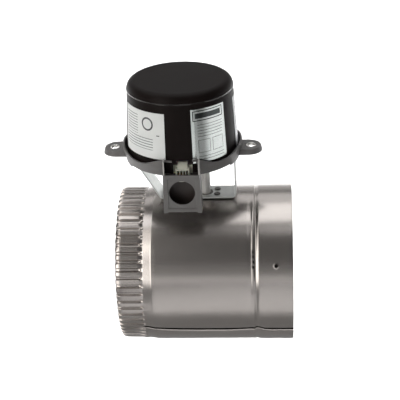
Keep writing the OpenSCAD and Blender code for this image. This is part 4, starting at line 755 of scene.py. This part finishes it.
place_piece(cap, "cover_cap", "cover_plastic", "operator", ["cover"])
print("cover faces:", len(cap.polygons))

# %% [markdown]
# The three labels are thin sheets bent round the cover. Each has its own flat map, so what is
# printed on it follows the bend. The metallised one has lifted along its left edge, a low ridge
# that catches the light. A flat plane pushed onto the cover would need its print stretched.

# %% Label sheets
LABEL_THICK, LABEL_GAP = 0.25, 0.04
COLUMNS_A_DEGREE, LABEL_ROWS = 1.5, 16


def label_sheet(name, look, node, first, wide, low_z, high_z, crease=((0, 0),)):
    """A curved label with a UV map in centimetres: U along its width, V up its height. A crease
    is a list of places along its width and how far it stands off there, both in millimetres."""
    columns, rows = int(wide * COLUMNS_A_DEGREE), LABEL_ROWS
    turns = np.radians(first + np.linspace(0, wide, columns + 1))
    heights = np.linspace(low_z, high_z, rows + 1)
    body = bmesh.new()
    flat = body.loops.layers.uv.new("label")
    spans = [(t - turns[0]) * cover_side_r((low_z + high_z) / 2) / 10 for t in turns]
    stands_at, stands_off = np.array(crease, float).T
    lift = np.interp(np.array(spans) * 10, stands_at, stands_off)
    shells = []
    for grow in (LABEL_GAP, LABEL_GAP + LABEL_THICK):
        shells.append([[body.verts.new(mm(HOUSE[0] + (cover_side_r(z) + grow + up) * math.cos(t),
                                          HOUSE[1] + (cover_side_r(z) + grow + up) * math.sin(t), z))
                        for t, up in zip(turns, lift)] for z in heights])

    def face(corners, maps):
        made = body.faces.new(corners)
        for loop, uv in zip(made.loops, maps):
            loop[flat].uv = uv

    rises = [(z - low_z) / 10 for z in heights]
    inner, outer = shells
    for r in range(rows):
        for c in range(columns):
            at = ((r, c), (r, c + 1), (r + 1, c + 1), (r + 1, c))
            face([outer[i][j] for i, j in at], [(spans[j], rises[i]) for i, j in at])
            back = at[::-1]
            face([inner[i][j] for i, j in back], [(spans[j], rises[i]) for i, j in back])
    rim = [(0, c) for c in range(columns)] + [(r, columns) for r in range(rows)]
    rim += [(rows, c) for c in range(columns, 0, -1)] + [(r, 0) for r in range(rows, 0, -1)]
    for (i, j), (k, m) in zip(rim, rim[1:] + rim[:1]):
        face([inner[i][j], inner[k][m], outer[k][m], outer[i][j]],
             [(spans[j], rises[i]), (spans[m], rises[k])] * 2)
    place_piece(as_mesh(body, name), name, look, "operator", [node])


print("labels stand", LABEL_GAP, "mm off the cover and are", LABEL_THICK, "mm thick")

# %% [markdown]
# Print is drawn in the material from the label's own map, because ink has no thickness to model.
# Each shape is a mask of 0 and 1 made with Math nodes: a bar is a rectangle in millimetres, an
# outline is a bar less a smaller bar, and ruled lines are a bar cut by a repeating step.

# %% Label print tools
def flat_map(tree):
    """The label's map as two outputs in millimetres, U and V."""
    uv = add(tree, "ShaderNodeTexCoord").outputs["UV"]
    apart = add(tree, "ShaderNodeSeparateXYZ", {0: uv}).outputs
    return (maths(tree, "MULTIPLY", apart["X"], 10.0), maths(tree, "MULTIPLY", apart["Y"], 10.0))


def within(tree, value, low, high):
    """1 where a value lies between two limits."""
    over = maths(tree, "GREATER_THAN", value, low)
    return maths(tree, "MULTIPLY", over, maths(tree, "LESS_THAN", value, high))


def bar(tree, u, v, box):
    """1 inside a rectangle (left, low, right, high) in millimetres."""
    return maths(tree, "MULTIPLY", within(tree, u, box[0], box[2]), within(tree, v, box[1], box[3]))


def outline(tree, u, v, box, line):
    """1 on the border of a rectangle."""
    inner = (box[0] + line, box[1] + line, box[2] - line, box[3] - line)
    return maths(tree, "SUBTRACT", bar(tree, u, v, box), bar(tree, u, v, inner))


def ring(tree, u, v, middle, radius, line):
    """1 on a circle."""
    across = maths(tree, "POWER", maths(tree, "SUBTRACT", u, middle[0]), 2.0)
    up = maths(tree, "POWER", maths(tree, "SUBTRACT", v, middle[1]), 2.0)
    reach = maths(tree, "SQRT", maths(tree, "ADD", across, up))
    return within(tree, reach, radius - line / 2, radius + line / 2)


def ruled(tree, u, v, box, pitch, line):
    """1 on evenly spaced thin lines inside a rectangle."""
    step = maths(tree, "MODULO", v, pitch)
    return maths(tree, "MULTIPLY", maths(tree, "LESS_THAN", step, line), bar(tree, u, v, box))


def union(tree, masks):
    """1 where any of the masks is 1."""
    total = masks[0]
    for mask in masks[1:]:
        total = maths(tree, "MAXIMUM", total, mask)
    return total

# %% [markdown]
# Two finishes change from place to place. The ridge under the cover's edge is polished. The
# inside of the conduit box is painted dark brown as shade, and its walls get painted highlights,
# pale strips along the upright edges of the socket's window. Masks from the object's own
# coordinates do it, so no piece has to be split for its colour.

# %% Finishes that change from place to place
POLISHED_Z = (189.5, 190.9)
# painted shade: the inside of the conduit box drawn dark brown, as a box in millimetres
BOX_SHADE_AT = ((-117.9, -86.8), (-59.9, -46.2), (89, 133))
# painted highlights: pale strips along the upright edges of the socket's window, as boxes in
# millimetres
EDGE_HIGHLIGHTS_AT = [(x, (-70, -52), (125.9, 139.5)) for x in ((-118.9, -117.8), (-86.3, -85.3))]


def inside_box(tree, place, box):
    """1 inside a box given by its limits along X, Y and Z in millimetres."""
    parts = add(tree, "ShaderNodeSeparateXYZ", {0: place}).outputs
    x, y, z = (within(tree, parts[i], low * MM, high * MM) for i, (low, high) in enumerate(box))
    return maths(tree, "MULTIPLY", x, maths(tree, "MULTIPLY", y, z))


tree, _tone, surface, place = cover_look
height = add(tree, "ShaderNodeSeparateXYZ", {0: place}).outputs["Z"]
polished = within(tree, height, POLISHED_Z[0] * MM, POLISHED_Z[1] * MM)
tree.links.new(polished, surface.inputs["Coat Weight"])
surface.inputs["Coat Roughness"].default_value = 0.12
tree, tone, surface, place = tray_look
# painted shade: the conduit box's inside drawn dark brown
box_painted_shade = printed_on(tree, tone, surface, inside_box(tree, place, BOX_SHADE_AT), "#352c29")
# painted highlight: the pale strips along the window's edges
edge_painted_highlight = union(tree, [inside_box(tree, place, box) for box in EDGE_HIGHLIGHTS_AT])
printed_on(tree, box_painted_shade, surface, edge_painted_highlight, "#c4c2be")
print("tray finish nodes:", len(tree.nodes))

# %% [markdown]
# The left label is coated paper, the right one metallised film, and the one round the side is
# silvery paper. Their print is ruled lines, frames, a plain ring, a solid bar and blank fields, in
# dark grey ink. A picture of each label could do it too, but masks stay sharp at any size.

# %% Label finishes
# coated white paper label: matt, faintly fibrous
tree, tone, surface, _ = finish("label_paper", "#e3e6e5", "#eff1ef", (0.42, 0.52), 0.3, 4,
                                drift_mm=20, IOR=1.5)
u, v = flat_map(tree)
paper_print = union(tree, [ruled(tree, u, v, (3, 21, 22, 40), 2.6, 0.55),
                           ruled(tree, u, v, (3, 8, 40, 19.5), 2.6, 0.6),
                           ring(tree, u, v, (34.2, 33.0), 5.7, 1.6),
                           bar(tree, u, v, (44, 22.5, 47, 23.4))])
printed_on(tree, tone, surface, paper_print, "#45484a")
# metallised polyester label: mirror-like under a clear coat
tree, tone, surface, _ = finish("label_foil", "#ccd2cf", "#eaefec", (0.18, 0.27), 0.6, 3,
                                (1, 1, 0.2), 14, Metallic=0.85, Coat_Weight=0.4,
                                Coat_Roughness=0.12)
u, v = flat_map(tree)
foil_print = union(tree, [outline(tree, u, v, (1.5, 40.5, 34, 50.5), 0.9),
                          bar(tree, u, v, (4, 43, 31.5, 48)),
                          ruled(tree, u, v, (6, 24, 33, 38.5), 2.8, 0.45),
                          outline(tree, u, v, (6, 9.5, 18, 22), 0.4),
                          outline(tree, u, v, (20.5, 9.5, 32.5, 22), 0.4),
                          ruled(tree, u, v, (6, 2, 33, 8), 2.8, 0.45)])
printed_on(tree, tone, surface, foil_print, "#3c4040")
# satin silver paper round the right side, seen almost edge on
tree, tone, surface, _ = finish("side_paper", "#d9dce0", "#eef0f2", (0.30, 0.40), 0.4, 3,
                                drift_mm=16, IOR=1.5)
u, v = flat_map(tree)
printed_on(tree, tone, surface, ruled(tree, u, v, (4, 6, 28, 43), 3.4, 0.5), "#868a8c")
print("finishes in all:", len(finishes))

# %% [markdown]
# Now the labels go on. Their angles, in degrees round the operator, and their lower and upper
# edges, in millimetres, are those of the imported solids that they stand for.

# %% Labels on the cover
label_sheet("label_left", "label_paper", "paper_label", 199.5, 57.5, 136.6, 181.3)
label_sheet("label_right", "label_foil", "metal_label", 284.4, 40.3, 132.7, 184.7,
            ((0, 0), (1.2, 0.2), (2.4, 0.5), (3, 0.55), (4.2, 0.35), (5.4, 0.12), (6.6, 0)))
label_sheet("label_side", "side_paper", "side_label", 347.0, 36.0, 132.3, 181.8)
print("meshes so far:", len(bpy.data.meshes))

# %% [markdown]
# The tray, strap, socket, shaft and blade have the right shape already. A copy of each gets its
# doubled points merged, its flat faces joined and a small bevel on every hard edge, because a
# real edge is never quite sharp and catches a line of light. Weighted normals keep flats flat.

# %% Copies with eased edges
MERGE_MM, FLAT_ANGLE, EASED_ANGLE = 0.05, math.radians(0.5), math.radians(35)


def eased(node, name, edge_mm, look, body="operator"):
    """A merged and bevelled copy of a CAD node that stands for it."""
    work = bmesh.new()
    work.from_mesh(nodes[node].data)
    bmesh.ops.remove_doubles(work, verts=work.verts, dist=MERGE_MM * MM)
    bmesh.ops.dissolve_limit(work, angle_limit=FLAT_ANGLE, verts=work.verts, edges=work.edges)
    bmesh.ops.triangulate(work, faces=work.faces)
    mesh = as_mesh(work, node)
    mesh.shade_smooth()
    carrier = in_scene("work", mesh)
    bevel = carrier.modifiers.new("edge", "BEVEL")
    bevel.width = edge_mm * MM
    bevel.segments = 2
    bevel.limit_method = "ANGLE"
    bevel.angle_limit = EASED_ANGLE
    bevel.use_clamp_overlap = False
    carrier.modifiers.new("flat_faces_first", "WEIGHTED_NORMAL")
    piece = place_piece(after_modifiers(carrier), name, look, body, [node])
    print(name, "faces:", len(piece.data.polygons))


eased("base_tray", "tray", 0.3, "tray_plastic")
eased("bracket", "strap", 0.2, "zinc_strap")
eased("harness_socket", "socket", 0.15, "socket_nylon")
eased("damper_shaft", "shaft", 0.3, "shaft_steel", "blade")
eased("damper_blade", "blade_disc", 0.15, "blade_sheet", "blade")

# %% [markdown]
# Rivets, eyelets and screws repeat, so each kind is one small mesh that Geometry Nodes sets on
# points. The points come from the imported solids: the lowest middle of every separate shell of the
# node. Copies made by hand would have to be moved by hand as well.

# %% Fastener rule
SAME_PLACE_MM = 0.002
setting, given = rule_tree("fastener_rule", (("Fastener", "NodeSocketObject"),
                           ("Turn", "NodeSocketFloat")))
shape = add(setting, "GeometryNodeObjectInfo", {"Object": given["Fastener"]})
index = add(setting, "GeometryNodeInputIndex").outputs[0]
spin = add(setting, "ShaderNodeCombineXYZ", {"Z": maths(setting, "MULTIPLY", index,
           given["Turn"])}).outputs[0]
points = add(setting, "GeometryNodeMeshToPoints", {"Mesh": given["Geometry"]})
copies = add(setting, "GeometryNodeInstanceOnPoints", {"Points": points.outputs[0],
             "Instance": shape.outputs["Geometry"], "Rotation": spin})
end_rule(setting, given, copies.outputs[0])


def shells_of(node):
    """The lowest and highest corner of each separate shell of a CAD node."""
    work = bmesh.new()
    work.from_mesh(nodes[node].data)
    bmesh.ops.remove_doubles(work, verts=work.verts, dist=SAME_PLACE_MM * MM)
    left, found = set(work.verts), []
    while left:
        group, queue = set(), [left.pop()]
        while queue:
            v = queue.pop()
            group.add(v)
            for e in v.link_edges:
                o = e.other_vert(v)
                if o in left:
                    left.remove(o)
                    queue.append(o)
        co = np.array([v.co for v in group])
        found.append((co.min(0), co.max(0)))
    work.free()
    return sorted(found, key=lambda f: tuple(np.round(f[0], 5)))


def set_out(name, prototype, node, look, turn=0.0):
    """Sets a fastener on each shell of a node, each turned a little further than the last."""
    places = [((lo[0] + hi[0]) / 2, (lo[1] + hi[1]) / 2, lo[2]) for lo, hi in shells_of(node)]
    dots = bpy.data.meshes.new("dots")
    dots.from_pydata(places, [], [])
    model = in_scene("model", prototype)
    mesh = grown(dots, setting, {"Fastener": model, "Turn": turn, "Material": finishes[look]})
    bpy.data.objects.remove(model)
    place_piece(mesh, name, look, "operator", [node])
    print(name, "x", len(places))

# %% [markdown]
# The strap's rivets have a rolled head with an open middle, and tails under the pipe's sheet. An
# eyelet is a thin tube with a rolled flange above and a flat one below. The screws are pan heads
# with a cross recess, put in from below. A half section of ten to sixteen points makes each.

# %% Fasteners
SCREW_TURN = 0.9
RECESS_REACH, RECESS_HALF, RECESS_Z = 1.9, 0.375, (-0.2, 1.3)


def pan_screw(length):
    """A pan head screw, head down, with a cross recess; length is that of the whole screw."""
    blank = turned([(0, 0), (2.0, 0.05), (2.9, 0.45), (3.4, 1.2), (3.5, 2.1), (3.4, 2.2), (1.8, 2.22),
                    (1.8, length - 0.5), (1.3, length), (0, length)], 40)
    low, high = RECESS_Z
    return bored(blank, [box_mesh(mm(-x, -y, low), mm(x, y, high)) for x, y in (
        (RECESS_REACH, RECESS_HALF), (RECESS_HALF, RECESS_REACH))])


rivet = turned([(0, 4.1), (1.05, 4.1), (1.3, 4.45), (1.9, 4.5), (2.7, 4.35), (3.05, 3.95), (3.1, 3.42),
                (1.6, 3.4), (1.6, 0.9), (2.2, 0.75), (2.24, 0.1), (0, 0)], 36)
set_out("rivets", rivet, "bracket_rivets", "rivet_steel")
eyelet = turned([(4.0, 0.35), (4.08, 0.1), (4.3, 0), (5.1, 0), (5.3, 0.12), (5.3, 0.3), (4.6, 0.32),
                 (4.6, 1.94), (5.3, 1.98), (5.3, 2.2), (5.17, 2.48), (4.93, 2.65), (4.65, 2.71),
                 (4.35, 2.65), (4.12, 2.47), (4.0, 2.2)], 48)
set_out("eyelets", eyelet, "ear_eyelets", "eyelet_nickel")
set_out("strap_screws", pan_screw(10.7), "bracket_screws", "screw_steel", SCREW_TURN)
set_out("cover_cap_screws", pan_screw(14.2), "cover_screws", "screw_steel", SCREW_TURN)

# %% [markdown]
# The other nodes sit inside the cover, the pipe or the socket, or show as no more than a rim, like
# the upper bushing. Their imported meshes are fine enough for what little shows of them, so they
# keep these and get the finish of their own material.

# %% Finishes for the carried-over nodes
CARRIED = {
    "screw_steel": ("pilot_plug", "blade_screws", "post_screws", "motor_screws", "switch_screws",
                    "board_screws"),
    "shaft_steel": ("cross_pin",), "clip_steel": ("retaining_clip",),
    "spring_steel": ("closed_lever", "open_lever"), "motor_steel": ("motor_plate", "motor_can"),
    "case_zinc": ("motor_case",), "brass_posts": ("plate_posts", "board_standoffs"),
    "contact_brass": ("socket_pins",), "bushing_grey": ("upper_bushing",),
    "bushing_nylon": ("lower_bushing", "floor_bushing"), "socket_nylon": ("lead_header",),
    "lead_insulation": ("harness_leads",), "gear_acetal": ("motor_pinion", "drive_gear"),
    "cam_plastic": ("switch_cam",), "switch_plastic": ("closed_switch", "open_switch"),
    "button_plastic": ("closed_button", "open_button"), "board_laminate": ("circuit_board",),
    "relay_plastic": ("relay",), "capacitor_sleeve": ("capacitors",)}
for look, wearers in CARRIED.items():
    for node in wearers:
        if not nodes[node].data.materials:
            nodes[node].data.materials.append(None)
        for slot in nodes[node].material_slots:
            slot.material = finishes[look]
print("carried over:", sum(len(wearers) for wearers in CARRIED.values()))
